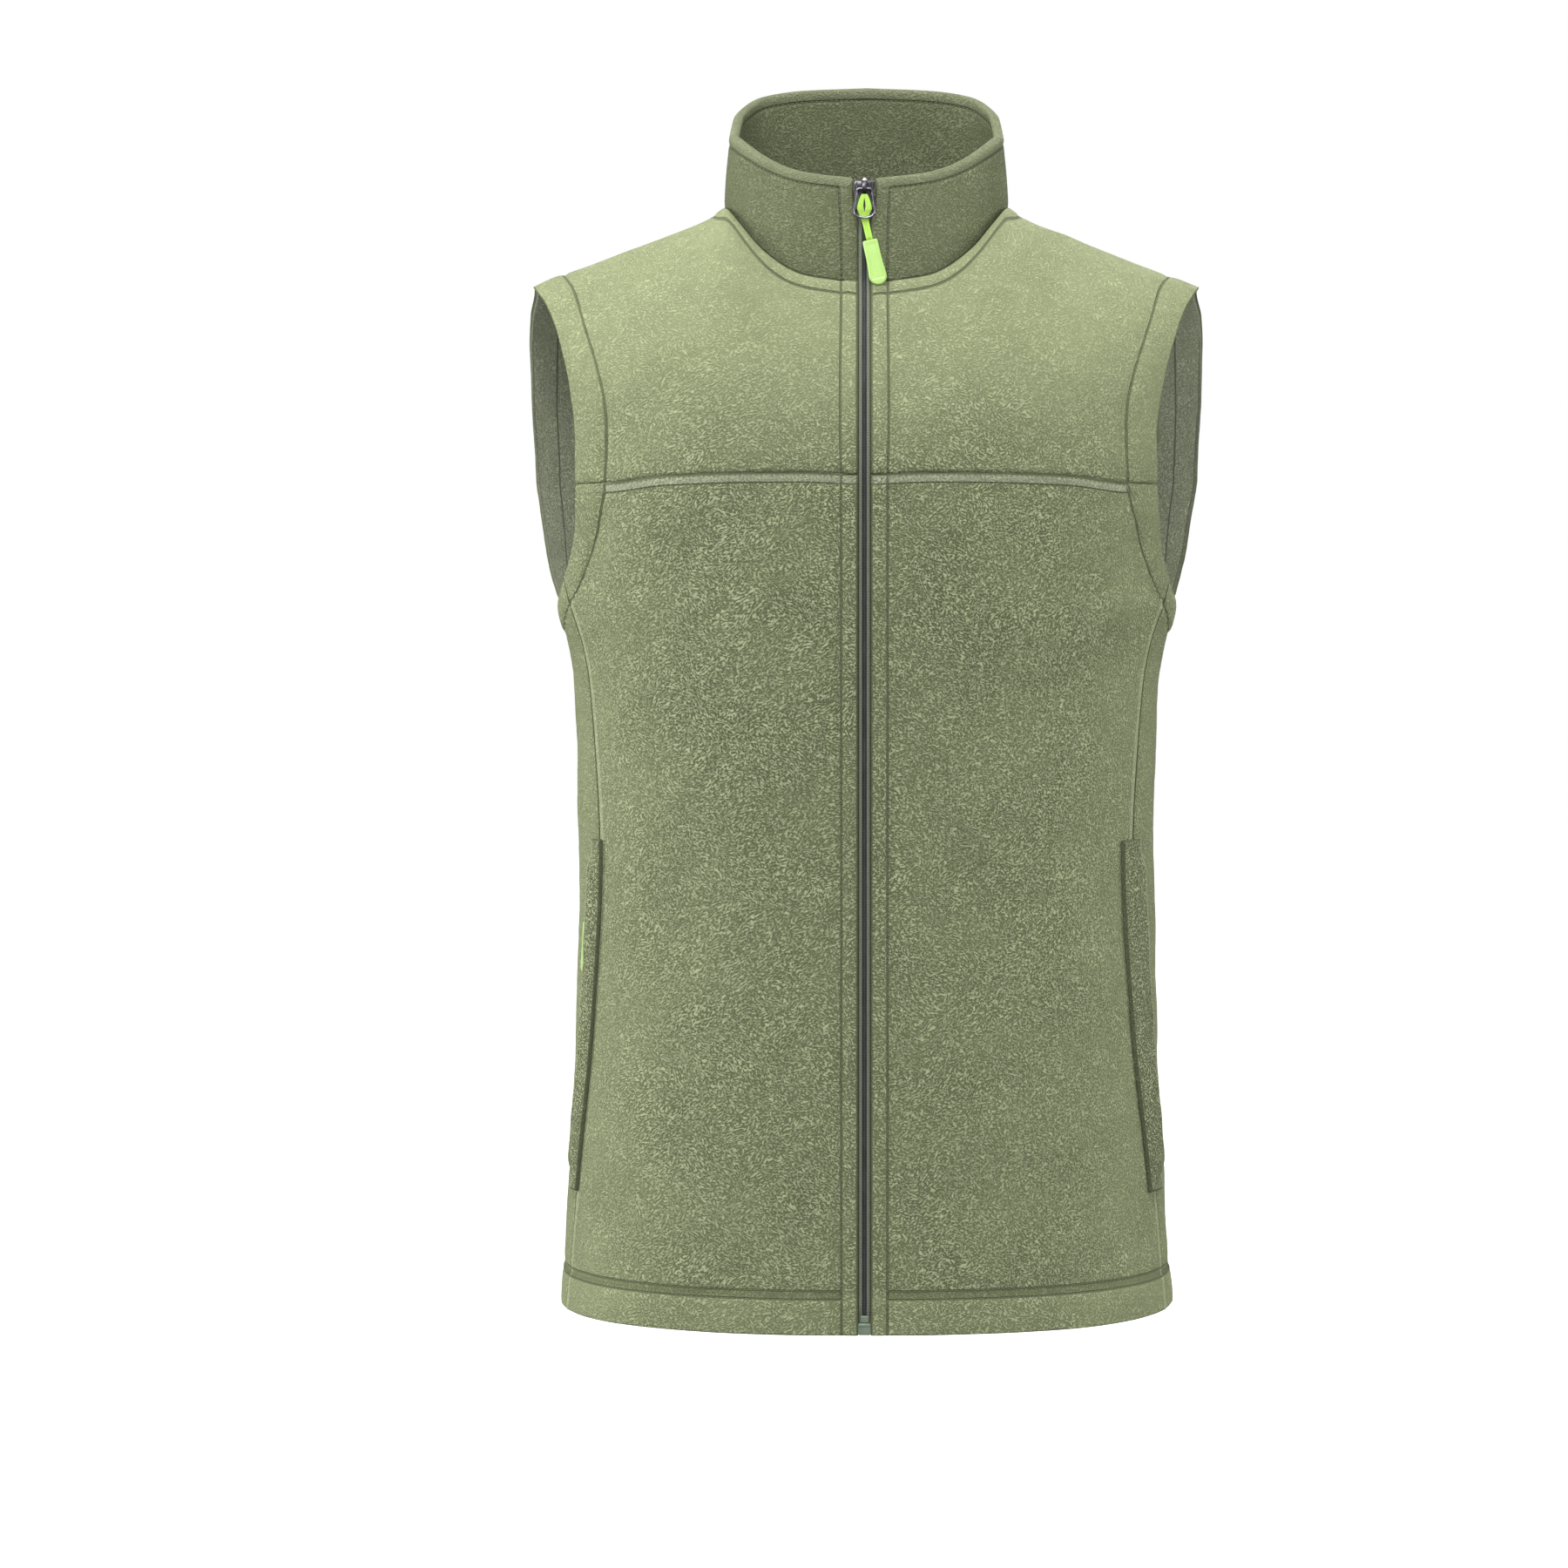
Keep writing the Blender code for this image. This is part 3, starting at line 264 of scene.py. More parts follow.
def unit(vectors):
    return vectors / np.maximum(np.linalg.norm(vectors, axis=-1, keepdims=True), 1e-9)


def run_length(points):
    """Distance travelled along a polyline at each of its points."""
    return np.concatenate([[0.0], np.cumsum(np.linalg.norm(np.diff(points, axis=0), axis=1))])


def along_run(points, run, spots):
    """Points at distances along a run of points."""
    return np.stack([np.interp(spots, run, points[:, c]) for c in range(3)], -1)


def at_distances(points, distances):
    """Fractional indices at given distances along a polyline."""
    return np.interp(distances, run_length(points), np.arange(len(points)))


def pick(values, where):
    """Values of a list at fractional indices."""
    index = np.arange(len(values))
    if np.ndim(values) == 1:
        return np.interp(where, index, values)
    return np.stack([np.interp(where, index, values[:, k]) for k in range(values.shape[1])], -1)


front_half, front_depth, back_half, back_depth, back_roundness = (smooth(BODY, k) for k in range(1, 6))
seam_depth = smooth(SIDE_SEAM, 1)
neck_curves = [smooth(COLLAR, k) for k in (1, 2, 3)]
ridge_curves = [smooth(COLLAR, k) for k in (4, 5, 6)]


def neck(station):
    return np.stack([curve(station) for curve in neck_curves], -1)


def ridge(station):
    return np.stack([curve(station) for curve in ridge_curves], -1)


# ---------------------------------------------------------------- the body's surface

def section(z, behind):
    """Half width, depth and exponent of the cross-section, behind the side line or in front of it."""
    return (np.where(behind, back_half(z), front_half(z)), np.where(behind, back_depth(z), front_depth(z)),
            np.where(behind, back_roundness(z), ROUNDNESS))


def body_point(turn, z):
    """The outer surface: turn is 0 at centre back, a quarter at the side, a half at centre front."""
    turn, z = np.broadcast_arrays(np.asarray(turn, float), np.asarray(z, float))
    behind = turn <= math.pi / 2
    angle = np.where(behind, turn, math.pi - turn)
    half, depth, exponent = section(z, behind)
    power = 2 / exponent
    across = half * np.clip(np.sin(angle), 0, 1) ** power
    deep = depth * np.clip(np.cos(angle), 0, 1) ** power
    return np.stack([across, np.where(behind, deep, -deep), z], -1)


def body_normal(points):
    """Outward normals of the body's surface, from its implicit form."""
    x, y, z = points[..., 0], points[..., 1], points[..., 2]
    behind = y > 0
    step = 1.0
    half, depth, n = section(z, behind)
    half_rate, depth_rate = ((above - below) / (2 * step) for above, below in
                             zip(section(z + step, behind)[:2], section(z - step, behind)[:2]))
    a, b = np.abs(x / half), np.abs(y / depth)
    return unit(np.stack([np.sign(x) * a ** (n - 1) / half, np.sign(y) * b ** (n - 1) / depth,
                          -(a ** n * half_rate / half + b ** n * depth_rate / depth)], -1))


def turn_at_depth(y, z):
    """The turn at which the surface lies y behind the side line, or in front of it."""
    _, full, exponent = section(z, y > 0)
    angle = np.arccos(np.clip(np.abs(y) / full, 0, 1) ** (exponent / 2))
    return np.where(y > 0, angle, math.pi - angle)


def turn_at_front_width(x, z):
    return math.pi - np.arcsin(np.clip(x / front_half(z), 0, 1) ** (ROUNDNESS / 2))


ARM_MIDDLE, ARM_TALL = (ARM_TOP + ARM_BOTTOM) / 2, (ARM_TOP - ARM_BOTTOM) / 2


def arm_depth(z, reach):
    """How far the armhole reaches from the shoulder line at a height."""
    share = np.clip(np.abs((z - ARM_MIDDLE) / ARM_TALL), 0, 1) ** ARM_ROUNDNESS
    return reach * (1 - share) ** (1 / ARM_ROUNDNESS)


def arm_low_z(y):
    """Height of the armhole's lower edge at a depth."""
    reach = np.where(y < 0, ARM_FRONT, ARM_BACK)
    return ARM_MIDDLE - ARM_TALL * (1 - np.abs(y / reach) ** ARM_ROUNDNESS) ** (1 / ARM_ROUNDNESS)


def arm_start(y):
    return float(body_point(turn_at_depth(y, YOKE_Z), YOKE_Z)[0])


SEAM_TOP = SIDE_SEAM[-1][0]
ARM_START = (YOKE_Z, arm_start(-arm_depth(YOKE_Z, ARM_FRONT)), arm_start(arm_depth(YOKE_Z, ARM_BACK)))
arm_front_x = smooth([ARM_START] + ARMHOLE, 1)
arm_back_x = smooth([ARM_START] + ARMHOLE, 2)


def slot_half(z):
    """Half the gap along the side seam: a seam, or the pocket's zipped opening."""
    inside = ease(POCKET_BOTTOM - 2, POCKET_BOTTOM + 8, z) * (1 - ease(POCKET_TOP - 8, POCKET_TOP + 2, z))
    return SEAM_GAP / 2 + (POCKET_SLOT - SEAM_GAP / 2) * inside


def front_edge_turn(z):
    """Turn of a lower front's outer edge: the side seam, then the armhole above it."""
    y = np.where(z < SEAM_TOP, -seam_depth(z), -arm_depth(z, ARM_FRONT))
    return turn_at_depth(y, z)


def torso_row(start, end, z_start, z_end, shares, end_gap=0.0, samples=160):
    """A row on the body from one turn to another, at shares of its length, short of its end.

    A row is level at z_start and drifts to z_end close to its end.
    """
    turns = np.linspace(start, end, samples)
    run = run_length(body_point(turns, np.full(samples, z_end)))
    z = z_start + (z_end - z_start) * np.exp((run - run[-1]) / BACK_ROW_REACH)
    fine = body_point(turns, z)
    where = at_distances(fine, np.asarray(shares) * (run_length(fine)[-1] - end_gap))
    points = body_point(pick(turns, where), pick(z, where))
    return points, body_normal(points)


def front_rows(heights, shares, opening):
    """Points and normals of a lower front, from the zip's edge to the side seam or armhole."""
    rows = []
    for z in heights:
        start = turn_at_front_width(opening, z)
        gap = float(slot_half(z)) if z < SEAM_TOP else 0.0
        rows.append(torso_row(float(start), float(front_edge_turn(z)), z, z, shares, gap))
    return np.array([r[0] for r in rows]), np.array([r[1] for r in rows])


# ---------------------------------------------------------------- shoulders

def shoulder(x):
    """The shoulder line from the side neck out to the armhole."""
    start, tip = COLLAR[SIDE_NECK], ARMHOLE[-1]
    z = tip[0] + SHOULDER_SLOPE * (tip[1] - x) + NECK_RISE * np.exp(-(x - start[1]) / NECK_RISE_REACH)
    y = start[2] * (tip[1] - x) / (tip[1] - start[1])
    return np.stack([x, y, z], -1)


def top_edge(shares, behind, opening):
    """Where the columns end: the neck seam, then the shoulder line."""
    ring = neck(np.linspace(10 if behind else 0, SIDE_NECK, 200))
    if not behind:
        start = pick(ring, np.interp(opening, ring[:, 0], np.arange(200)))
        ring = np.vstack([start[None], ring[ring[:, 0] >= opening * 0.999]])
    line = shoulder(np.linspace(COLLAR[SIDE_NECK][1], ARMHOLE[-1][1], 120))
    neck_share = np.clip(shares / NECK_SHARE, 0, 1)
    line_share = np.clip((shares - NECK_SHARE) / (1 - NECK_SHARE), 0, 1)
    on_neck = pick(ring, at_distances(ring, neck_share * run_length(ring)[-1]))
    on_line = pick(line, at_distances(line, line_share * run_length(line)[-1]))
    return np.where((shares <= NECK_SHARE)[:, None], on_neck, on_line)


def rounding(shares, behind):
    """How each column bends over: its fullness and its roll at the top."""
    middle = ease(0, NECK_SHARE, shares)
    edge = ease(NECK_SHARE, 1, shares)
    fullness = (2.0 if behind else 1.7) + (0.2 if behind else 0.5) * middle + 0.9 * edge
    roll = 1 - 0.45 * middle - 0.05 * edge
    return fullness, roll


def upper_points(shares, rises, behind, opening):
    """Points of a yoke, or of the back above the yoke's height, as rows from YOKE_Z to the top."""
    shares = np.asarray(shares, float)
    if behind:
        edge = float(turn_at_depth(np.float64(arm_depth(YOKE_Z, ARM_BACK)), YOKE_Z))
        base = torso_row(0.0, edge, YOKE_Z, YOKE_Z, shares)[0]
    else:
        start = float(turn_at_front_width(opening, YOKE_Z))
        base = torso_row(start, float(front_edge_turn(YOKE_Z)), YOKE_Z, YOKE_Z, shares)[0]
    fullness, roll = rounding(shares, behind)
    spread = 1 + 1.8 * shares
    edge_x = arm_back_x if behind else arm_front_x
    reach = ARM_BACK if behind else -ARM_FRONT
    pull = shares ** 4
    rows = []
    for rise in rises:
        soften = CORNER_SOFTNESS * (1 - rise) * 4 * shares * (1 - shares)
        top = sum(weight * top_edge(shares + offset * soften, behind, opening)
                  for offset, weight in ((-1, 0.125), (-0.5, 0.25), (0, 0.25), (0.5, 0.25), (1, 0.125)))
        climb = 1 - (1 - rise) ** (1 / roll)
        bend = (1 - climb ** fullness) ** roll
        z = base[:, 2] + (top[:, 2] - base[:, 2]) * climb
        x = base[:, 0] + (top[:, 0] - base[:, 0]) * climb ** spread
        y = top[:, 1] + (base[:, 1] - top[:, 1]) * bend
        rim_climb = 1 - (1 - rise) ** (1 / roll[-1])
        rim_z = YOKE_Z + (ARM_TOP - YOKE_Z) * rim_climb
        plain_x = base[-1, 0] + (top[-1, 0] - base[-1, 0]) * rim_climb ** spread[-1]
        plain_y = top[-1, 1] + (base[-1, 1] - top[-1, 1]) * (1 - rim_climb ** fullness[-1]) ** roll[-1]
        x = x + pull * (edge_x(rim_z) - plain_x)
        y = y + pull * (arm_depth(rim_z, 1.0) * reach - plain_y)
        rows.append(np.stack([x, y, z], -1))
    return np.array(rows)


def upper_rows(shares, rises, behind, opening):
    """Points and outward normals above YOKE_Z."""
    shares, rises = np.asarray(shares, float), np.asarray(rises, float)
    points = upper_points(shares, rises, behind, opening)
    small = 0.004
    low_s, high_s = np.clip(shares - small, 0, 1), np.clip(shares + small, 0, 1)
    low_r, high_r = np.clip(rises - small, 0, 1), np.clip(rises + small, 0, 1)
    across = (upper_points(high_s, rises, behind, opening)
              - upper_points(low_s, rises, behind, opening))
    upward = (upper_points(shares, high_r, behind, opening)
              - upper_points(shares, low_r, behind, opening))
    normals = np.cross(across, upward)
    if behind:
        normals = -normals
        normals[:, shares == 0, 0] = 0.0
    normals = unit(normals)
    level = body_normal(points[:1])
    mix = ease(0.0, 0.2, rises)[:, None, None]
    return points, unit(level * (1 - mix) + normals * mix)


# ---------------------------------------------------------------- relief of the panels

def armhole_ring():
    """The whole armhole as one run of points, up the front and down the back, for distances to it."""
    ring = []
    for side in (-1, 1):
        angle = np.linspace(-math.pi / 2, math.pi / 2, 90)
        z = ARM_MIDDLE + ARM_TALL * np.sign(np.sin(angle)) * np.abs(np.sin(angle)) ** (2 / ARM_ROUNDNESS)
        y = side * arm_depth(z, ARM_FRONT if side < 0 else ARM_BACK)
        low = body_point(turn_at_depth(y, z), z)[..., 0]
        x = np.where(z < YOKE_Z, low, arm_front_x(z) if side < 0 else arm_back_x(z))
        ring.append(np.stack([x, y, z], -1))
    return np.vstack([ring[0], ring[1][::-1]])


ARM_RING = armhole_ring()


def fold_depth(points, folds):
    """How deep some soft folds are at each point."""
    depth = np.zeros(points.shape[:-1])
    for face, x1, z1, x2, z2, half, deep in folds:
        start, way = np.array([x1, z1]), np.array([x2 - x1, z2 - z1])
        flat = points[..., ::2] - start
        share = np.clip((flat @ way) / (way @ way), 0, 1)
        off = np.linalg.norm(flat - share[..., None] * way, axis=-1)
        depth += np.where(points[..., 1] * face > 0, deep * np.exp(-(off / half) ** 2), 0.0)
    return depth


def folded(points, normals):
    """The points sunk into the soft folds."""
    return points - normals * fold_depth(points, FOLDS)[..., None]


TAPE_TOP = -(CLOTH + SEAM_GAP)
RIDGE_TOP = -1.0
FACE_FOOT = neck(0.1)[1:]
FACE_HEAD = ridge(0.1)[1:] - COLLAR_CLOTH / 2
FACE_UP = unit(FACE_HEAD - FACE_FOOT)
FACE_OUT = np.array([-FACE_UP[1], FACE_UP[0]])


def on_face(across, z, lift):
    """A point off the collar's front face: across from the zip, at a height, lifted off it."""
    y, z = FACE_FOOT + FACE_UP * (z - FACE_FOOT[1]) / FACE_UP[1] + FACE_OUT * lift
    return np.array([ZIP_X + across, y, z])


def face_ring(z, outline):
    return [on_face(a, z, b) for a, b in outline]


def zip_section(outline, level, kind):
    """One ring of a piece of the zip: its outline of (across, lift) set on the fleece's surface."""
    across, lift = np.array(outline, float).T
    x = ZIP_X + across
    if kind == "face":
        return face_ring(level, outline)
    if kind == "chest":
        points = body_point(turn_at_front_width(np.abs(x), level), level)
        normals = body_normal(points)
    else:
        grid, bent = upper_rows(np.linspace(0, 0.2, 21), [level], False, 0.0)
        where = np.interp(np.abs(x), grid[0, :, 0], np.arange(21))
        points, normals = pick(grid[0], where), pick(bent[0], where)
    normals = unit(normals * np.stack([ease(4, 12, np.abs(across)), x * 0 + 1, x * 0 + 1], -1))
    points = points + normals * lift[:, None]
    points[:, 0] *= np.where(x < 0, -1, 1)
    return points


WIRE = 0.7
BAIL = [(0, 0.0), (3.0, 0.0), (4.3, -0.6), (4.9, -2.4), (5.6, -8.0), (6.1, -12.0), (5.9, -14.6),
        (4.2, -17.0), (0, -18.2)]
LOOP_END = -31.9
GRIP_RINGS = [(0.0, 4.0, 0.9), (0.5, 4.6, 1.3), (11.0, 4.7, 1.3), (18.0, 5.1, 1.3), (22.5, 5.4, 1.3),
              (25.6, 4.5, 1.2), (27.2, 2.6, 1.0), (27.7, 1.2, 0.7)]
PULL_TILT = math.radians(12.5)
TILT_FROM = -17.0


def on_pull(across, down, lift):
    """A point of the pull at rest; below the bail it hangs tilted to one side."""
    if down < TILT_FROM:
        lean = down - TILT_FROM
        across, down = (across * math.cos(PULL_TILT) - lean * math.sin(PULL_TILT),
                        TILT_FROM + lean * math.cos(PULL_TILT) + across * math.sin(PULL_TILT))
    return on_face(across, HINGE_Z + down, HINGE_LIFT + lift)


def side_section(z, outline):
    """One ring at a height on the side: (distance behind the side seam, lift off the surface)."""
    across, lift = np.array(outline, float).T
    turns = float(turn_at_depth(-seam_depth(z), z)) + np.linspace(0.35, -0.35, 281)
    row = body_point(turns, np.full(281, z))
    points = body_point(pick(turns, at_distances(row, run_length(row)[140] + across)), z)
    return points + body_normal(points) * lift[:, None]


STRIP = [(2.95, -0.9), (1.0, -0.9), (0.6, -0.4), (-0.6, -0.4), (-1.0, -0.9), (-2.95, -0.9),
         (-2.95, -1.8), (-1.0, -1.8), (-0.6, -1.8), (0.6, -1.8), (1.0, -1.8), (2.95, -1.8)]
# Height below the pocket's top, half width, lift
POCKET_SLIDER = [(-10.0, 1.6, 0.2), (-11.5, 2.7, 0.6), (-15.0, 2.7, 0.6), (-18.5, 1.5, 0.4)]
# Height below the pocket's top, near and far edge behind the seam, lift of its face
POCKET_PULL = [(-30.0, 1.0, 2.6, 1.2), (-38.0, 6.6, 9.4, 1.4), (-46.0, 9.4, 13.0, 1.6),
               (-47.0, 8.0, 14.4, 1.8), (-74.0, 8.2, 15.2, 1.8), (-77.0, 9.6, 14.0, 1.6)]


def distance_to(points, line):
    """Distance of each point to a run of points."""
    flat = points.reshape(-1, 3)
    best = np.full(len(flat), FAR ** 2)
    low, high = line.min(axis=0) - 40, line.max(axis=0) + 40
    near = np.flatnonzero(np.all((flat > low) & (flat < high), axis=1))
    spots = flat[near]
    least = best[near]
    for one, two in zip(line[:-1], line[1:]):
        way = two - one
        share = np.clip((spots - one) @ way / max(way @ way, 1e-9), 0, 1)
        gap = spots - one - share[:, None] * way
        least = np.minimum(least, np.einsum("ij,ij->i", gap, gap))
    best[near] = least
    return np.sqrt(best).reshape(points.shape[:-1])


# ---------------------------------------------------------------- fine grids of the panels

FAR = 500.0
EDGE_STEPS = [0.0, 0.25, 0.6, 1.0, 1.5, 2.3]
EDGE_ROUND = 1.1
BACK_ROW_STEP = 3.0

# Rows of thread: distances from the hem, yoke and neck seams, the collar's top and a welt's edge
HEM_ROWS = (HEM_TURN - 2.6, HEM_TURN + 2.6)
YOKE_ROWS = (1.5, 5.4)
NECK_STITCH = 10.0
RIM_STITCH = 8.5
WELT_STITCH = 2.6


def places(length, step, fine_start=True, extra=()):
    """Shares of a length, a step apart and closer together at its edges."""
    start = EDGE_STEPS if fine_start else [0.0]
    inner = np.arange(start[-1] + step * 0.8, length - EDGE_STEPS[-1] - step * 0.5, step)
    every = np.concatenate([start, inner, length - np.array(EDGE_STEPS)[::-1]]) / length
    return np.unique(np.concatenate([every, extra]))


FRONT_PLACES = places(185.0, 2.1)
YOKE_PLACES = places(180.0, 2.3, extra=[NECK_SHARE])
BACK_PLACES = places(250.0, 3.1, fine_start=False, extra=[NECK_SHARE])
LOW_HEIGHTS = HEM_Z + (POCKET_TOP + 30 - HEM_Z) * places(POCKET_TOP + 30 - HEM_Z, 3.3)[:-5]
FRONT_HEIGHTS = HEM_Z + (YOKE_Z - HEM_Z) * places(YOKE_Z - HEM_Z, 3.2)
RISE_PLACES = places(150.0, 2.6)


def side_line(heights):
    return body_point(turn_at_depth(-seam_depth(heights), heights), heights)


def settled(points):
    """Cloth near the yoke seam, which hangs a little lower by the armholes and higher between them."""
    x = np.abs(points[..., 0])
    drop = 3.6 * ease(118, 158, x) - 1.2 * (1 - ease(70, 130, x)) * ease(4, 40, x)
    moved = points.copy()
    moved[..., 2] -= drop * np.exp(-((points[..., 2] - YOKE_Z) / 30.0) ** 2)
    return moved


def on_one_side(points):
    return np.stack([np.abs(points[..., 0]), points[..., 1], points[..., 2]], -1)


def tucked(points):
    """Cloth at the side neck, its corner drawn in under the collar's foot."""
    corner = np.array(COLLAR[SIDE_NECK][1:4])
    off = np.linalg.norm(on_one_side(points) - corner, axis=-1)
    pull = np.stack([np.sign(points[..., 0]) * 0.9, 0 * off, 0 * off + 1.9], -1)
    return points - pull * np.exp(-(off / 5.0) ** 2)[..., None]


def yoke_line():
    start = float(turn_at_front_width(0.5, YOKE_Z))
    end = float(front_edge_turn(YOKE_Z))
    return settled(torso_row(start, end, YOKE_Z, YOKE_Z, np.linspace(0, 1, 60))[0])


SIDE_LINE = side_line(np.arange(HEM_Z, SEAM_TOP + 0.1, 3.0))
YOKE_LINE = yoke_line()
NECK_LINE = neck(np.linspace(0, 10, 130))
SHOULDER_LINE = shoulder(np.linspace(COLLAR[SIDE_NECK][1], ARMHOLE[-1][1], 50))


def fine_back():
    """Points and normals of half the back from hem to neck."""
    def row(y, z, centre_z, gap=0.0):
        return torso_row(0.0, float(turn_at_depth(y, z)), float(centre_z), z, BACK_PLACES, gap)

    seam = smooth([(POCKET_TOP, POCKET_TOP)] + BACK_SEAM_ENDS, 1)
    rows = [row(-seam_depth(z), z, z, float(slot_half(z))) for z in LOW_HEIGHTS[LOW_HEIGHTS < POCKET_TOP]]
    rows += [row(-seam_depth(z), z, seam(z), float(slot_half(z)))
             for z in np.arange(POCKET_TOP + BACK_ROW_STEP, SEAM_TOP, BACK_ROW_STEP)]
    start, end = -float(seam_depth(SEAM_TOP)), float(arm_depth(YOKE_Z, ARM_BACK))
    share = np.linspace(0, 1, 400)
    depths = start + (end - start) * np.sin(share * math.pi / 2)
    edge = body_point(turn_at_depth(depths, arm_low_z(depths)), arm_low_z(depths))
    run = run_length(edge)
    table = [(0.0, BACK_SEAM_ENDS[-1][1])]
    table += [(float(np.interp(y, depths, run)), z) for y, z in BACK_ARM_ENDS] + [(run[-1], YOKE_Z)]
    centre = smooth(table, 1)
    for spot in np.arange(0.0, run[-1] - 2, BACK_ROW_STEP):
        y = float(np.interp(spot, run, depths))
        rows.append(row(y, float(arm_low_z(y)), centre(spot)))
    low, low_normals = np.array([r[0] for r in rows]), np.array([r[1] for r in rows])
    high, high_normals = upper_rows(BACK_PLACES, RISE_PLACES[5:], True, 0.0)
    high[-1, BACK_PLACES >= NECK_SHARE, 1] += SEAM_GAP / 2
    return mirrored(np.concatenate([low, high])), mirrored(np.concatenate([low_normals, high_normals]))


def mirrored(grid):
    other = grid[:, :0:-1].copy()
    other[..., 0] *= -1
    return np.concatenate([other, grid], axis=1)


# More soft folds, too shallow for the solid: face, x and z of one end, of the other, half width, depth
SMALL_FOLDS = [
    (-1, -88.0, -92.0, -150.0, -150.0, 16.0, 0.7),
    (-1, 92.0, -98.0, 148.0, -142.0, 14.0, 0.6),
    (-1, -60.0, -250.0, -140.0, -300.0, 24.0, 0.8),
    (-1, 48.0, -300.0, 130.0, -330.0, 26.0, 0.7),
    (-1, -50.0, -470.0, -120.0, -440.0, 26.0, 0.8),
    (-1, 60.0, -520.0, 140.0, -480.0, 24.0, -0.7),
    (-1, -70.0, -600.0, -76.0, -650.0, 18.0, 0.7),
    (-1, 96.0, -590.0, 104.0, -655.0, 20.0, 0.8),
    (1, 60.0, -60.0, 150.0, -96.0, 18.0, 0.9),
    (1, -70.0, -70.0, -160.0, -110.0, 16.0, 0.8),
    (1, 140.0, -300.0, 150.0, -360.0, 20.0, -0.9),
    (1, -60.0, -560.0, -72.0, -660.0, 24.0, 1.2),
    (1, 40.0, -540.0, 52.0, -664.0, 26.0, 1.3),
    (1, 120.0, -580.0, 124.0, -668.0, 18.0, 0.9),
    (1, -130.0, -590.0, -136.0, -668.0, 18.0, 0.8),
    (1, -10.0, -120.0, 20.0, -250.0, 30.0, 0.8),
]

# Slow waves of the cloth: how they run in x, y and z (per mm), phase, height
WAVES = [
    (0.060, 0.020, 0.034, 0.4, 0.30),
    (-0.041, 0.030, 0.052, 2.1, 0.28),
    (0.025, -0.050, -0.071, 4.0, 0.22),
    (0.110, 0.060, 0.047, 1.2, 0.14),
    (-0.093, 0.020, 0.121, 3.3, 0.12),
    (0.150, -0.090, -0.135, 5.1, 0.08),
    (0.310, 0.210, 0.260, 0.7, 0.05),
    (-0.270, 0.330, 0.410, 2.6, 0.05),
]


def wave(points):
    height = 0.0
    for kx, ky, kz, phase, high in WAVES:
        height = height + high * np.sin(points @ np.array([kx, ky, kz]) + phase
                                        + 0.8 * np.sin(points @ np.array([kz, kx, ky]) * 0.6))
    return height


def edge_distance(points):
    """Distance of each grid point from the nearest edge of its grid, along rows and columns."""
    def both(steps, axis):
        run = np.cumsum(steps, axis=axis)
        run = np.concatenate([np.zeros_like(np.take(run, [0], axis=axis)), run], axis=axis)
        return np.minimum(run, np.take(run, [-1], axis=axis) - run)
    across = both(np.linalg.norm(np.diff(points, axis=1), axis=2), 1)
    along = both(np.linalg.norm(np.diff(points, axis=0), axis=2), 0)
    return np.minimum(across, along)


def worn_off(edge):
    """How much the rounding of a cloth edge takes off at a distance from it."""
    return EDGE_ROUND - np.sqrt(np.clip(EDGE_ROUND ** 2 - np.clip(EDGE_ROUND - edge, 0, None) ** 2, 0, None))


def dent(distance, at, half, deep):
    return deep * np.exp(-((distance - at) / half) ** 2)


def swell(distance, start, end, high):
    """A soft bulge between two distances."""
    t = np.clip((distance - start) / (end - start), 0, 1)
    return high * np.sin(math.pi * t) ** 0.8


def nap(points):
    """How tufted the fleece is: most over the body's middle, brushed flatter at shoulders, sides and hem."""
    x, z = np.abs(points[..., 0]), points[..., 2]
    middle = ease(60, 215, -z) * (1 - 0.15 * ease(330, 500, -z)) * (1 - 0.5 * ease(110, 175, x))
    return (0.38 + 0.4 * middle) * (1 - 0.2 * (1 - ease(HEM_TURN, HEM_TURN + 6, z - HEM_Z)))


def panel_fields(points, zip_run):
    """Distances in millimetres to each line that cloth is sewn along."""
    whole = on_one_side(points)
    arm = distance_to(whole, ARM_RING)
    wider = ease(60, 125, -points[..., 2]) * (1 - ease(170, 225, -points[..., 2])) * (points[..., 1] < 0)
    return {
        "hem": points[..., 2] - HEM_Z,
        "arm": arm * (1 - 0.3 * wider * ease(0, 12, arm)),
        "side": distance_to(whole, SIDE_LINE),
        "yoke": distance_to(whole, YOKE_LINE),
        "neck": distance_to(whole, NECK_LINE),
        "shoulder": distance_to(whole, SHOULDER_LINE),
        "zip": zip_run if zip_run is not None else np.full(points.shape[:-1], FAR),
        "nap": nap(points),
    }


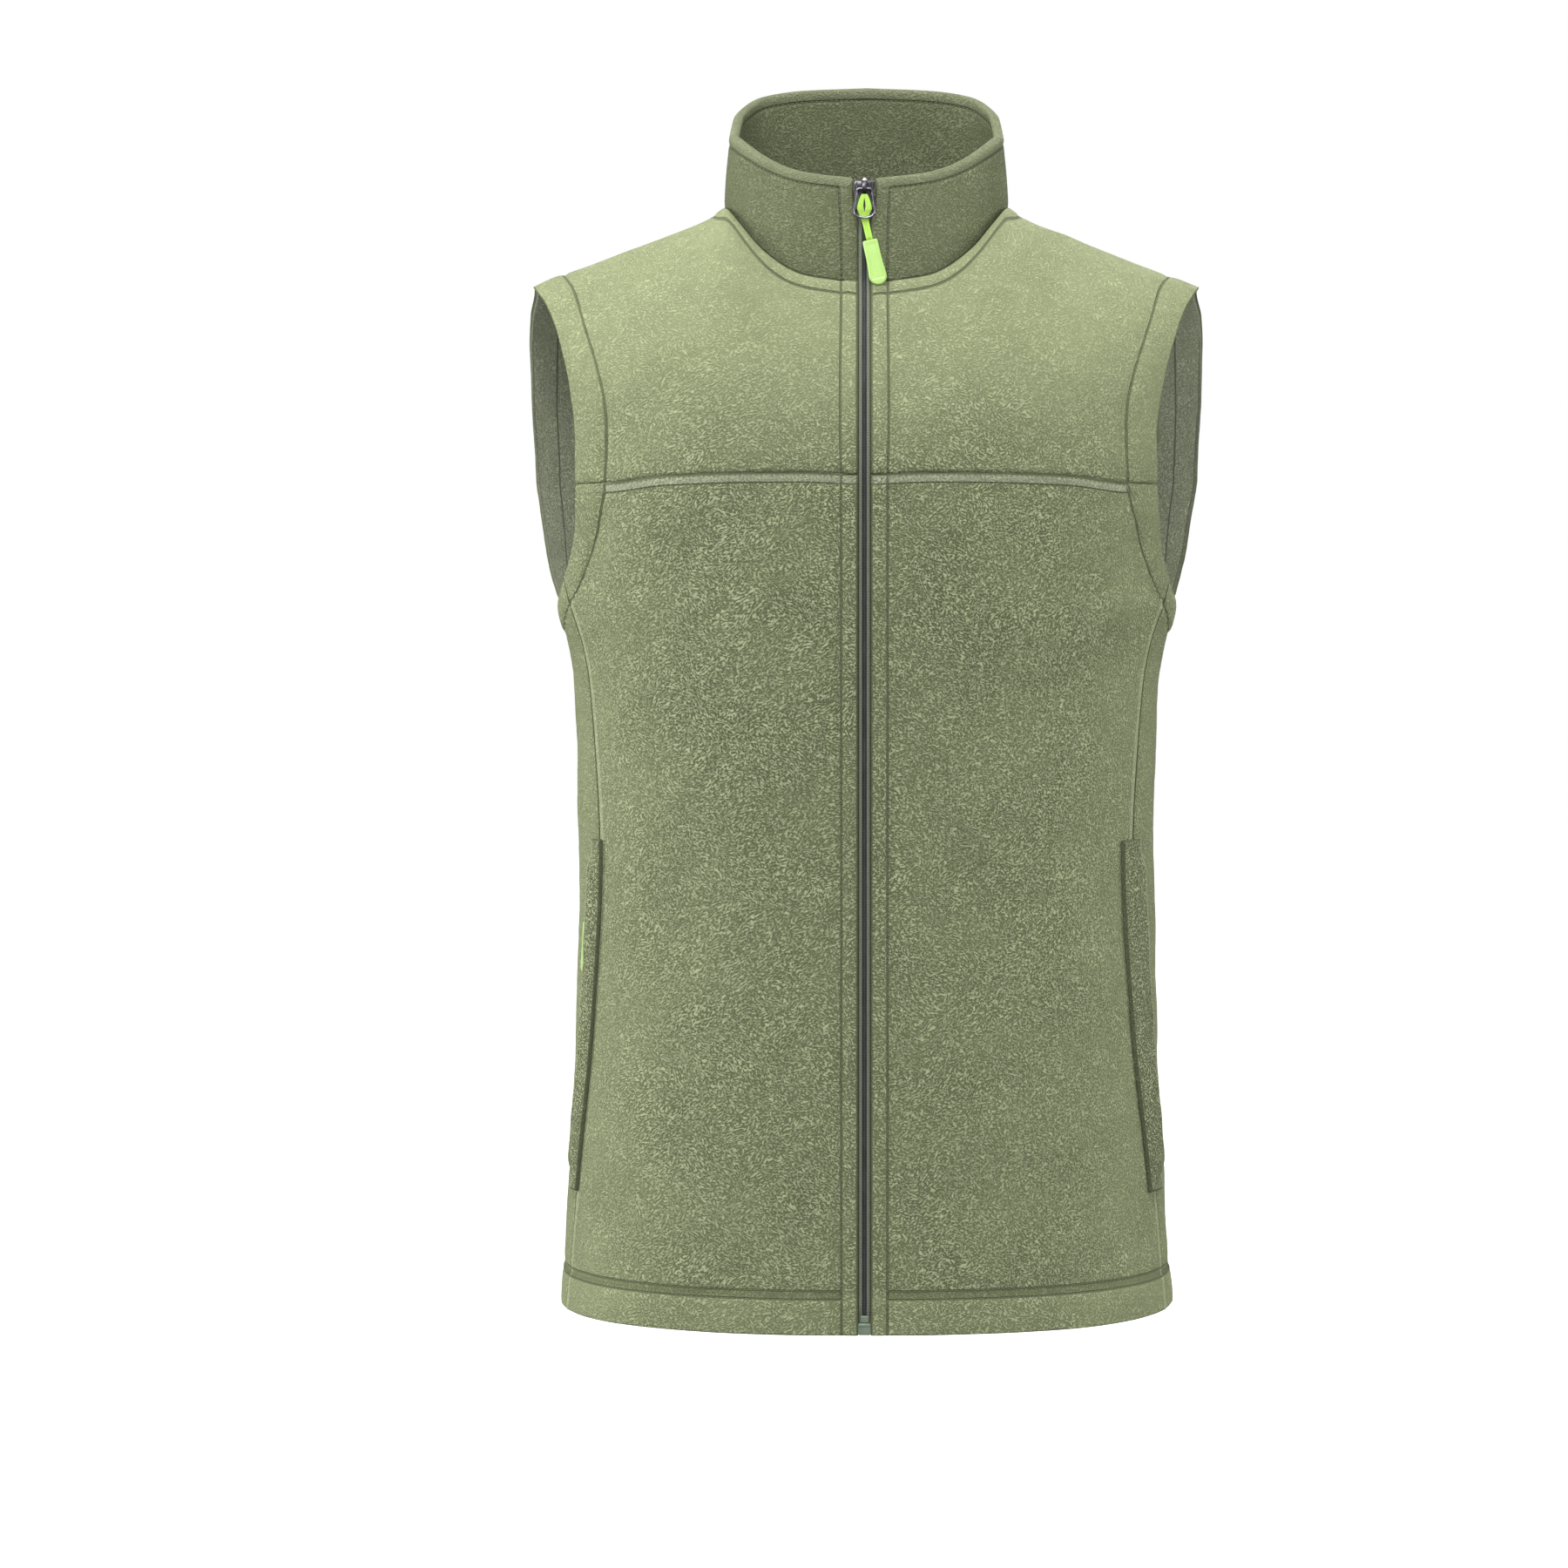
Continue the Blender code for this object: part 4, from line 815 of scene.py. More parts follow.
def panel_walls(points, normals, fields, sign=1.0):
    """Outer and inner faces of a panel with its relief. sign places its folds on the right side."""
    true = points * [sign, 1, 1]
    calm = (ease(13, 34, fields["zip"]) * ease(13, 30, fields["side"]) * ease(2, 18, fields["neck"])
            * ease(1, 14, fields["shoulder"]) * ease(1, 10, fields["yoke"]))
    base = folded(true, normals * [sign, 1, 1]) * [sign, 1, 1]
    base = base + normals * ((wave(true) - fold_depth(true, SMALL_FOLDS)) * calm)[..., None]
    turns = (("hem", HEM_TURN), ("arm", ARMHOLE_TURN), ("zip", ZIP_TURN))
    lip = np.maximum.reduce([1 - ease(width - TURN_STEP / 2, width + TURN_STEP / 2, fields[name])
                             for name, width in turns])
    rise = TURN_RISE * lip * ease(0, 14, fields["shoulder"])
    has_zip = fields["zip"].min() < 1
    rise += dent(fields["side"], 2.6, 2.0, 0.45) if has_zip else -dent(fields["side"], 1.0, 2.4, 0.3)
    rise += swell(fields["hem"], 1.0, HEM_TURN - 3, 0.3) * calm
    rise += swell(fields["arm"], 2.0, ARMHOLE_TURN, 0.3) * ease(4, 12, fields["shoulder"])
    rise += swell(fields["zip"], 0.0, ZIP_TURN, 0.35)
    rise -= dent(fields["hem"], HEM_TURN, 2.6, 1.0) + dent(fields["arm"], ARMHOLE_TURN, 1.8, 1.1)
    rise -= dent(fields["zip"], ZIP_TURN, 1.5, 0.9)
    rise -= dent(fields["yoke"], 0, 1.4, 0.6) + dent(fields["side"], 0, 1.6, 0.6)
    rise -= dent(fields["shoulder"], 0, 1.6, 0.25) + dent(fields["neck"], 0, 2.2, 0.4)
    rise -= dent(fields["neck"], NECK_STITCH, 1.4, 0.8)
    rise += swell(fields["neck"], 0.5, NECK_STITCH, 0.35)
    pucker = np.sin(true @ np.array([0.31, 0.27, 0.52])) * np.sin(true @ np.array([0.17, -0.12, 0.23]) + 1.0)
    for name, at in (*turns, ("yoke", 3)):
        rise += pucker * dent(fields[name], at, 5.0, 0.22)
    edge = edge_distance(points)
    lost = worn_off(edge)
    outer = base + normals * (rise - lost)[..., None]
    inner = base - normals * (CLOTH - 0.95 * lost)[..., None]
    return outer, inner


def grid_quads(index):
    return np.stack([index[:-1, :-1], index[:-1, 1:], index[1:, 1:], index[1:, :-1]], -1).reshape(-1, 4)


def grid_mesh(name, outer, inner, fields, surface, sign=1.0):
    """A closed cloth wall between two grids; its fields are kept as attributes."""
    rows, columns = outer.shape[:2]
    verts = np.concatenate([outer.reshape(-1, 3), inner.reshape(-1, 3)]) * [sign * MM, MM, MM]
    index = np.arange(rows * columns).reshape(rows, columns)
    under = index + rows * columns
    quads = [grid_quads(index),
             np.stack([under[:-1, :-1], under[1:, :-1], under[1:, 1:], under[:-1, 1:]], -1).reshape(-1, 4)]
    ahead, back = np.s_[1:], np.s_[:-1]
    for edge, one, two in ((np.s_[:, 0], ahead, back), (np.s_[:, -1], back, ahead),
                           (np.s_[0], back, ahead), (np.s_[-1], ahead, back)):
        top, low = index[edge], under[edge]
        quads.append(np.stack([top[one], low[one], low[two], top[two]], -1))
    faces = np.concatenate(quads)
    if sign < 0:
        faces = faces[:, ::-1]
    kept = {k: np.tile(v.reshape(-1), 2) for k, v in fields.items()}
    return solid(name, verts, faces, surface, {**kept, "inside": np.repeat([0.0, 1.0], rows * columns)})


def solid(name, verts, faces, surface, fields=None):
    mesh = bpy.data.meshes.new(name)
    mesh.from_pydata(verts.tolist(), [], faces.tolist() if hasattr(faces, "tolist") else faces)
    mesh.update()
    mesh.shade_smooth()
    mesh.materials.append(surface)
    for key, values in (fields or {}).items():
        made = mesh.attributes.new(key, "FLOAT", "POINT")
        made.data.foreach_set("value", np.asarray(values, np.float32))
    made = bpy.data.objects.new(name, mesh)
    scene.collection.objects.link(made)
    return made


def fix_normals(made):
    data = bmesh.new()
    data.from_mesh(made.data)
    bmesh.ops.recalc_face_normals(data, faces=data.faces)
    data.to_mesh(made.data)
    data.free()


def join(pieces):
    """Several meshes made into one."""
    verts, faces, offset = [], [], 0
    for piece_verts, piece_faces in pieces:
        verts.append(np.asarray(piece_verts))
        faces += [tuple(int(k) + offset for k in face) for face in piece_faces]
        offset += len(piece_verts)
    return np.concatenate(verts), faces


def lofted(rings):
    """Points and faces of a closed body through rings."""
    rings = np.asarray(rings, float)
    count, size = rings.shape[:2]
    faces = [(i * size + k, i * size + (k + 1) % size, (i + 1) * size + (k + 1) % size, (i + 1) * size + k)
             for i in range(count - 1) for k in range(size)]
    faces.append(tuple(range(size))[::-1])
    faces.append(tuple((count - 1) * size + k for k in range(size)))
    return rings.reshape(-1, 3), faces


def tube(path, radius, sides=8, up=(0, -1, 0), closed=False):
    """Points and faces of a round tube along a run of points."""
    path = np.asarray(path, float)
    if closed:
        way = unit(np.roll(path, -1, axis=0) - np.roll(path, 1, axis=0))
    else:
        way = unit(np.gradient(path, axis=0))
    side = unit(np.cross(way, np.asarray(up, float)))
    lift = np.cross(side, way)
    radius = np.broadcast_to(np.asarray(radius, float), len(path))
    angles = np.linspace(0, 2 * math.pi, sides, endpoint=False)
    rings = [p + r * (np.cos(angles)[:, None] * s + np.sin(angles)[:, None] * u)
             for p, r, s, u in zip(path, radius, side, lift)]
    verts, faces = lofted(rings)
    if closed:
        faces = faces[:-2]
        last = len(rings) - 1
        faces += [(last * sides + k, last * sides + (k + 1) % sides, (k + 1) % sides, k)
                  for k in range(sides)]
    return verts, faces


def piece(name, parts, surface, fields=None):
    """One smooth mesh of some closed bodies in millimetres."""
    verts, faces = join(parts)
    made = solid(name, verts * MM, faces, surface, fields)
    fix_normals(made)
    return made


# ---------------------------------------------------------------- materials

class Nodes:
    """A material's node tree with short ways to add to it."""

    def __init__(self, name):
        self.surface = bpy.data.materials.new(name)
        self.surface.use_nodes = True
        self.tree = self.surface.node_tree
        self.shader = self.tree.nodes["Principled BSDF"]
        self.place = self.add("ShaderNodeTexCoord").outputs["Object"]

    def add(self, kind, **values):
        node = self.tree.nodes.new(kind)
        for key, value in values.items():
            setattr(node, key, value)
        return node

    def link(self, source, target):
        if hasattr(source, "is_output"):
            self.tree.links.new(source, target)
        else:
            target.default_value = source

    def math(self, operation, one, two=0.0):
        node = self.add("ShaderNodeMath", operation=operation)
        self.link(one, node.inputs[0])
        self.link(two, node.inputs[1])
        return node.outputs[0]

    def times(self, one, two):
        return self.math("MULTIPLY", one, two)

    def plus(self, one, two):
        return self.math("ADD", one, two)

    def minus(self, one, two):
        return self.math("SUBTRACT", one, two)

    def span(self, value, low, high, out_low=0.0, out_high=1.0):
        node = self.add("ShaderNodeMapRange", interpolation_type="SMOOTHSTEP")
        for source, target in zip((value, low, high, out_low, out_high), range(5)):
            self.link(source, node.inputs[target])
        return node.outputs[0]

    def noise(self, scale, detail=2.0, distortion=0.0, place=None):
        node = self.add("ShaderNodeTexNoise")
        node.inputs["Scale"].default_value = scale
        node.inputs["Detail"].default_value = detail
        node.inputs["Distortion"].default_value = distortion
        self.link(place or self.place, node.inputs["Vector"])
        return node

    def mix(self, factor, one, two):
        node = self.add("ShaderNodeMix", data_type="RGBA")
        self.link(factor, node.inputs[0])
        for color, target in ((one, 6), (two, 7)):
            self.link(color if hasattr(color, "is_output") else (*color, 1.0), node.inputs[target])
        return node.outputs[2]

    def stretched(self, x, y, z):
        node = self.add("ShaderNodeMapping")
        self.link(self.place, node.inputs["Vector"])
        node.inputs["Scale"].default_value = (x, y, z)
        return node.outputs["Vector"]

    def field(self, name):
        node = self.add("ShaderNodeAttribute", attribute_name=name)
        return node.outputs["Fac"]

    def line(self, name, at, half, only=None, core=0.35):
        """1 on a line at a distance from a seam, 0 away from it."""
        off = self.math("ABSOLUTE", self.minus(self.field(name), at))
        made = self.span(off, half * core, half, 1.0, 0.0)
        if only:
            made = self.times(made, self.span(self.field(only[0]), only[1] - 0.3, only[1] + 0.3))
        return made

    def bump(self, height, depth):
        node = self.add("ShaderNodeBump")
        node.inputs["Distance"].default_value = depth
        node.inputs["Strength"].default_value = 1.0
        self.link(height, node.inputs["Height"])
        self.link(node.outputs["Normal"], self.shader.inputs["Normal"])

    def finish(self, color, roughness, metallic=0.0, **more):
        self.link(color if hasattr(color, "is_output") else (*color, 1.0), self.shader.inputs["Base Color"])
        self.link(roughness, self.shader.inputs["Roughness"])
        self.shader.inputs["Metallic"].default_value = metallic
        for key, value in more.items():
            self.shader.inputs[key.replace("_", " ")].default_value = value
        return self.surface


NAP_DEPTH = 0.002         # metres


def fleece(name, lines, bands=(), painted_shade_tone=1.0):
    """Brushed fleece: short wiggling tufts with darker gaps, flattened along the sewn lines and darkened
    there as painted shade.

    A line is a field, a distance, a half width and perhaps a field that must be above a limit there.
    A band, between two rows of thread or along an edge, also has the colour that it turns to, and how far;
    the bands carry thread colour, painted shade and painted highlights.
    """
    n = Nodes(name)
    drift = n.noise(55.0, 2.0)
    bent = n.add("ShaderNodeVectorMath", operation="MULTIPLY_ADD")
    n.link(drift.outputs["Color"], bent.inputs[0])
    bent.inputs[1].default_value = (0.009, 0.009, 0.009)
    n.link(n.place, bent.inputs[2])
    layers = []
    for turn, long, scale in (((0.5, 0.9, 0.3), 2.1, 1170.0), ((-0.6, -0.8, 0.5), 1.9, 1250.0)):
        lay = n.add("ShaderNodeMapping", vector_type="TEXTURE")
        n.link(bent.outputs["Vector"], lay.inputs["Vector"])
        lay.inputs["Rotation"].default_value = turn
        lay.inputs["Scale"].default_value = (1.0, 1.0, long)
        layers.append(n.noise(scale, 1.0, 0.4, lay.outputs["Vector"]).outputs["Fac"])
    patch = n.span(n.noise(26.0, 2.0).outputs["Fac"], 0.44, 0.56)
    tufts = n.add("ShaderNodeMix")
    for source, target in ((patch, 0), (layers[0], 2), (layers[1], 3)):
        n.link(source, tufts.inputs[target])
    tufts = n.span(tufts.outputs[0], 0.39, 0.61)
    fuzz = n.noise(3200.0, 2.0).outputs["Fac"]
    pile = n.plus(n.times(tufts, 0.8), n.times(fuzz, 0.2))
    # Along the sewn lines the nap is flattened and the colour is darkened as painted shade.
    flat = 0.0
    for line in lines:
        flat = n.math("MAXIMUM", flat, n.line(*line))
    nap = n.times(n.field("nap"), n.minus(1.0, n.times(flat, 0.6)))
    nap = n.times(nap, n.span(n.noise(21.0, 2.0).outputs["Fac"], 0.3, 0.7, 0.9, 1.1))
    pile = n.plus(n.times(n.minus(pile, 0.5), nap), 0.5)
    low = n.mix(n.span(pile, 0.0, 0.5), DARK, MIDDLE)
    color = n.mix(n.span(pile, 0.5, 1.0), low, LIGHT)
    for field, at, half, only, turned, amount in bands:
        color = n.mix(n.times(n.line(field, at, half, only, 0.85), amount), color, turned)
    reverse = n.mix(n.span(pile, 0.2, 0.8), *REVERSE)
    color = n.mix(n.times(n.field("inside"), 0.85), color, reverse)
    # A tone below 1 darkens the whole colour as painted shade.
    bright = n.span(n.noise(17.0, 3.0).outputs["Fac"], 0.3, 0.7, 0.98 * painted_shade_tone, 1.02 * painted_shade_tone)
    bright = n.times(bright, n.minus(1.27, n.times(n.field("nap"), 0.39)))
    # The colour is scaled by the tone, the nap and the painted shade along the sewn lines.
    shade = n.add("ShaderNodeVectorMath", operation="SCALE")
    n.link(color, shade.inputs[0])
    n.link(n.times(bright, n.minus(1.0, n.times(flat, 0.58))),
           shade.inputs["Scale"])
    height = n.minus(pile, n.times(flat, 0.5))
    n.bump(height, NAP_DEPTH)
    return n.finish(shade.outputs["Vector"], 0.95, Sheen_Weight=0.08, Sheen_Roughness=0.5,
                    Sheen_Tint=(0.75, 0.9, 0.5, 1.0), Specular_IOR_Level=0.1)


DARK, MIDDLE, LIGHT = (0.070, 0.080, 0.040), (0.226, 0.252, 0.138), (0.430, 0.468, 0.290)
REVERSE = (0.26, 0.28, 0.195), (0.57, 0.60, 0.455)
LIGHT_ROWS, SHADE_BETWEEN_ROWS = (0.43, 0.45, 0.34), (0.135, 0.155, 0.078)
NEAR_ZIP, NEAR_ARM = ("zip", ZIP_TURN), ("arm", ARMHOLE_TURN)
# Sewn lines of the panels, each darkened as painted shade along its groove.
BODY_LINES = [("hem", HEM_ROWS[0], 0.8, NEAR_ZIP), ("hem", HEM_ROWS[1], 0.8, NEAR_ZIP),
              ("arm", ARMHOLE_TURN, 0.9), ("zip", ZIP_TURN, 0.9), ("neck", NECK_STITCH, 1.3),
              ("neck", 0.0, 1.8), ("side", 0.0, 1.7), ("zip", 0.0, 1.5), ("arm", 0.0, 1.3)]
# Painted shade: the hem's band between its two rows of thread is darkened.
HEM_SHADE_BAND = ("hem", HEM_TURN, 2.5, NEAR_ZIP, SHADE_BETWEEN_ROWS, 0.6)
FLEECE = fleece("fleece", BODY_LINES, [HEM_SHADE_BAND])
# The yoke seam's two rows, darkened as painted shade.
YOKE_LINES = [("yoke", 0.6, 1.0, NEAR_ARM), ("yoke", 6.1, 0.5, NEAR_ARM)]
FLEECE_FRONT = fleece("fleece_front", BODY_LINES + YOKE_LINES,
                      [HEM_SHADE_BAND, ("yoke", 3.4, 2.4, NEAR_ARM, LIGHT_ROWS, 0.42),
                       # A band of LIGHT along the front's folded edge by the side seam is a painted
                       # highlight.
                       ("side", 3.4, 1.9, NEAR_ARM, LIGHT, 0.45)])
# The collar's stitch rows, darkened as painted shade.
COLLAR_LINES = [("rim", RIM_STITCH, 1.0, NEAR_ZIP), ("zip", ZIP_TURN, 0.9, ("rim", RIM_STITCH))]
# The collar's fleece is darkened to 0.55 of its colour as painted shade.
FLEECE_COLLAR = fleece("fleece_collar", COLLAR_LINES,
                       # A band of LIGHT over the collar's rolled top edge is a painted highlight.
                       [("rim", 3.5, 4.6, None, LIGHT, 0.5)], painted_shade_tone=0.55)
# The welt's sewn edge is darkened as painted shade, and a band of LIGHT along its free edge is a painted
# highlight.
FLEECE_WELT = fleece("fleece_welt", [("rim", 0.0, 1.4)], [("free", 1.6, 1.6, None, LIGHT, 0.6)])


def thread_material(name, dark, light):
    n = Nodes(name)
    twist = n.noise(2600.0, 1.0).outputs["Fac"]
    n.bump(twist, 0.0001)
    return n.finish(n.mix(twist, dark, light), 0.7)


THREAD = thread_material("thread", (0.075, 0.088, 0.042), (0.17, 0.20, 0.105))
LADDER_THREAD = thread_material("ladder_thread", (0.25, 0.27, 0.185), (0.38, 0.40, 0.30))


def woven(name, dark, light, scale):
    """A narrow woven tape: fine slanting ribs."""
    n = Nodes(name)
    ribs = n.add("ShaderNodeTexWave", wave_type="BANDS", bands_direction="Z")
    ribs.inputs["Scale"].default_value = scale
    ribs.inputs["Distortion"].default_value = 0.6
    n.link(n.stretched(1.0, 1.0, 0.6), ribs.inputs["Vector"])
    fleck = n.noise(1800.0, 2.0).outputs["Fac"]
    height = n.plus(n.times(ribs.outputs["Fac"], 0.6), n.times(fleck, 0.4))
    n.bump(height, 0.0003)
    return n.finish(n.mix(n.span(height, 0.2, 0.8), dark, light), 0.8, Sheen_Weight=0.1)


def moulded(name, color, deeper, roughness, grain=900.0, depth=0.00006, metallic=0.0, **more):
    """Smooth moulded or cast stock with faint grain and wear."""
    n = Nodes(name)
    fine = n.noise(grain, 3.0).outputs["Fac"]
    broad = n.noise(60.0, 3.0).outputs["Fac"]
    n.bump(fine, depth)
    worn = n.span(fine, 0.2, 0.8, roughness * 0.85, min(1.0, roughness * 1.15))
    return n.finish(n.mix(n.span(broad, 0.35, 0.7), color, deeper), worn, metallic, **more)


ZIP_TAPE = woven("zip_tape", (0.07, 0.078, 0.052), (0.185, 0.20, 0.14), 700.0)
COIL = moulded("zip_coil", (0.040, 0.046, 0.050), (0.062, 0.070, 0.078), 0.42)
RETAINER = moulded("zip_end", (0.125, 0.165, 0.115), (0.15, 0.195, 0.135), 0.38)
GUNMETAL = moulded("gunmetal", (0.040, 0.038, 0.042), (0.070, 0.066, 0.072), 0.32, metallic=1.0)
BAIL_WIRE = moulded("bail_wire", (0.13, 0.12, 0.15), (0.20, 0.19, 0.24), 0.26, metallic=1.0)
# The seam allowances are darker than the fleece: painted shade where they show in the seam gaps.
ALLOWANCE = moulded("seam_allowance", (0.10, 0.115, 0.06), (0.17, 0.19, 0.105), 0.9,
                    grain=1500.0, depth=0.0004)
PLATED = moulded("plated", (0.70, 0.68, 0.74), (0.80, 0.78, 0.84), 0.22, metallic=1.0)
LIME_CORD = woven("lime_cord", (0.27, 0.52, 0.03), (0.52, 0.80, 0.14), 1100.0)
LIME_GRIP = moulded("lime_grip", (0.33, 0.53, 0.135), (0.36, 0.57, 0.15), 0.42, grain=500.0, depth=0.0001)


# ---------------------------------------------------------------- panels

PANEL_CLOSER = 0.9        # the panels' edges lie this much closer to the zip than in the solids
COLLAR_CLOSER = 0.7       # and the collar's
SKIN = {}
FIELDS = {}


def panel(node, points, normals, zip_run, surface, sign=1.0):
    fields = panel_fields(points, zip_run)
    points = tucked(points)
    outer, inner = panel_walls(points, normals, fields, sign)
    made = grid_mesh(node + "_cloth", outer, inner, fields, surface, sign)
    SKIN[node] = outer * [sign, 1, 1]
    FIELDS[node] = fields
    return dress(made, "vest", "fleece", node)


def dress(made, body, slot, *nodes):
    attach(made, body)
    if nodes:
        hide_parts(*nodes)
    return made


def run_lengths(points):
    return np.linalg.norm(np.diff(points, axis=1), axis=2).sum(axis=1)[:, None]


for side, sign in SIDES.items():
    opening = ZIP_HALF - PANEL_CLOSER + sign * ZIP_X
    points, normals = front_rows(FRONT_HEIGHTS, FRONT_PLACES, opening)
    points[-1, :, 2] -= SEAM_GAP / 2
    points = settled(points)
    made = panel("front_" + side, points, normals, run_lengths(points) * FRONT_PLACES, FLEECE_FRONT, sign)
    points, normals = upper_rows(YOKE_PLACES, RISE_PLACES, False, opening)
    points[0, :, 2] += SEAM_GAP / 2
    points[-1, YOKE_PLACES >= NECK_SHARE, 1] -= SEAM_GAP / 2
    points = settled(points)
    made = panel("yoke_" + side, points, normals, run_lengths(points) * YOKE_PLACES, FLEECE, sign)

points, normals = fine_back()
made = panel("back", points[:, ::-1], normals[:, ::-1], None, FLEECE)


# ---------------------------------------------------------------- collar

def collar_rings(opening, sign):
    """Fine rings of the collar's cross-section, from one side of the zip to centre back."""
    fine = np.linspace(0, 10, 2001)
    start = float(np.interp(opening, neck(fine)[:500, 0], fine[:500]))
    run = run_length(neck(np.linspace(start, 10, 1200)))
    wanted = np.concatenate([EDGE_STEPS, np.arange(3.8, run[-1] - 0.5, 2.2), [run[-1]]])
    stations = np.interp(wanted, run, np.linspace(start, 10, 1200))
    base, top = neck(stations), ridge(stations)
    tangent = unit(np.gradient((base + top) / 2, stations, axis=0) * [1, 1, 0])
    outward = np.stack([tangent[:, 1], -tangent[:, 0], 0 * stations], -1)
    lead = ease(0, 14, wanted)[:, None]
    outward = unit(outward * lead + np.array([0, -1, 0]) * (1 - lead))
    tail = ease(0, 14, wanted[-1] - wanted)[:, None]
    outward = unit(outward * tail + np.array([0, 1, 0]) * (1 - tail))
    half = COLLAR_CLOTH / 2
    foot = base - half * outward + [0, 0, SEAM_GAP]
    head = top - [0, 0, half]
    rise = unit(head - foot)
    outward = unit(outward - rise * np.sum(outward * rise, -1, keepdims=True))
    along = unit(np.gradient(foot, wanted, axis=0))
    height = np.linalg.norm(head - foot, axis=1)
    rings, rims, zips = [], [], []
    for i, run_here in enumerate(wanted):
        thin = math.sqrt(max(0.0, 1 - max(0.0, 1 - run_here / 2.2) ** 2)) * 0.86 + 0.14
        tall = height[i]
        up = np.concatenate([[-1.3, .2, 1.2], np.linspace(3.5, tall - 14, 16),
                             tall - np.array([12, 10.6, 9.5, 8.6, 8.2, 7.6, 6.4, 5, 3.4, 1.8, 0.6])])
        share = up / tall
        ring, rim = [], []
        wob = 0.35 * math.sin(run_here * 0.075 + sign) + 0.2 * math.sin(run_here * 0.19 + 2 * sign)
        body = 0.8 * np.sin(math.pi * np.clip(share, 0, 1)) ** 0.8 + wob * share * (1 - share) * 2
        from_top = tall + half * 0.9 - up
        relief = (swell(from_top, 0.5, RIM_STITCH, 0.7) - dent(from_top, RIM_STITCH, 1.4, 0.75)
                  + dent(from_top, 10.6, 2.2, 0.15)) - dent(up, 0, 1.8, 0.35)
        zip_relief = dent(run_here, ZIP_TURN, 1.5, -0.6) + swell(run_here, 1.0, ZIP_TURN, 0.35)
        relief = relief + zip_relief * ease(3, 12, from_top)
        flare = SLIDER_FLARE * ease(0.55, 0.86, share) * math.exp(-(run_here / 9.0) ** 2)
        face = foot[i] + rise[i] * up[:, None] + along[i] * flare[:, None]
        for p, s, r in zip(face, body, relief):
            ring.append(p + (half + s + r) * outward[i] * thin)
        rim += list(from_top)
        crown = face[-1]
        for a in np.radians([12, 32, 55, 78, 102, 125, 148, 168]):
            ring.append(crown + (half + 0.2) * thin * (math.cos(a) * outward[i]
                                                       + math.sin(a) * rise[i] * 0.72))
            rim.append(0.5)
        for p, s, r in zip(face[::-1], body[::-1], relief[::-1]):
            ring.append(p - (half - s * 0.5 + r * 0.7) * outward[i] * thin)
        rim += list(from_top[::-1])
        rings.append(np.array(ring) * [sign, 1, 1])
        rims.append(rim)
        zips.append([run_here] * len(ring))
    return rings, rims, zips


left, left_rim, left_zip = collar_rings(ZIP_HALF - COLLAR_CLOSER + ZIP_X, 1)
right, right_rim, right_zip = collar_rings(ZIP_HALF - COLLAR_CLOSER - ZIP_X, -1)
rings = left + right[-2::-1]
fields = {"nap": np.full(len(rings) * len(rings[0]), 0.5),
          "rim": np.ravel(left_rim + right_rim[-2::-1]), "zip": np.ravel(left_zip + right_zip[-2::-1])}
collar = piece("collar_cloth", [lofted(rings)], FLEECE_COLLAR, fields)
SKIN["collar"] = np.array(rings)
FIELDS["collar"] = {key: values.reshape(SKIN["collar"].shape[:2]) for key, values in fields.items()}
dress(collar, "vest", "collar_fleece", "collar")


# ---------------------------------------------------------------- front zip

def rounded(table, count):
    """A short table of rings made into many, on smooth curves through each column."""
    table = np.array(table, float)
    at = np.linspace(0, 1, len(table))
    rows = [(a, *row) for a, row in zip(at, table)]
    where = np.linspace(0, 1, count)
    return np.stack([smooth(rows, k + 1)(where) for k in range(table.shape[1])], -1)


def levels(first, step):
    """Levels of the zip's rings from a first height up: on the chest, the yoke and the collar's face."""
    made = [(z, "chest") for z in np.arange(first, YOKE_Z, step)]
    made += [(r, "yoke") for r in np.linspace(0.02, 0.975, int(125 / step))]
    return made + [(z, "face") for z in np.arange(FACE_FOOT[1] + 1, FACE_HEAD[1] - 1, step)]


def box_outline(half, low, high, corner, points=3):
    """A rounded rectangle of (across, lift)."""
    outline = []
    for x, y, start in ((half, high, 0), (-half, high, 90), (-half, low, 180), (half, low, 270)):
        for angle in np.radians(np.linspace(start, start + 90, points)):
            outline.append((x - math.copysign(corner, x) + corner * math.cos(angle),
                            y - math.copysign(corner, y - (low + high) / 2) + corner * math.sin(angle)))
    return outline


for side, sign in SIDES.items():
    rings = []
    for level, kind in levels(HEM_Z + 0.5, 2.4):
        wide = ZIP_HALF - SEAM_GAP if kind == "face" or level > 0.965 else TAPE_HALF
        crest = RIDGE_TOP - 1.0 * (1 - ease(HEM_Z + COIL_BOTTOM - 1, HEM_Z + COIL_BOTTOM + 1, level)) \
            if kind == "chest" else RIDGE_TOP
        outline = [(wide, TAPE_TOP), (min(wide, 4.3), TAPE_TOP), (3.65, TAPE_TOP), (3.5, crest - 0.7),
                   (3.25, crest - 0.2), (2.9, crest), (1.9, crest), (1.45, crest - 0.2), (1.25, crest - 0.8),
                   (1.2, TAPE_TOP - TAPE), (3.3, TAPE_TOP - TAPE), (3.65, TAPE_TOP - TAPE),
                   (min(wide, 4.3), TAPE_TOP - TAPE), (wide, TAPE_TOP - TAPE)]
        rings.append(zip_section([(sign * a, b) for a, b in outline], level, kind))
    tape = piece("zip_tape_%s_weave" % side, [lofted(rings)], ZIP_TAPE)
    dress(tape, "vest", "zip_tape", "zip_tape_" + side)

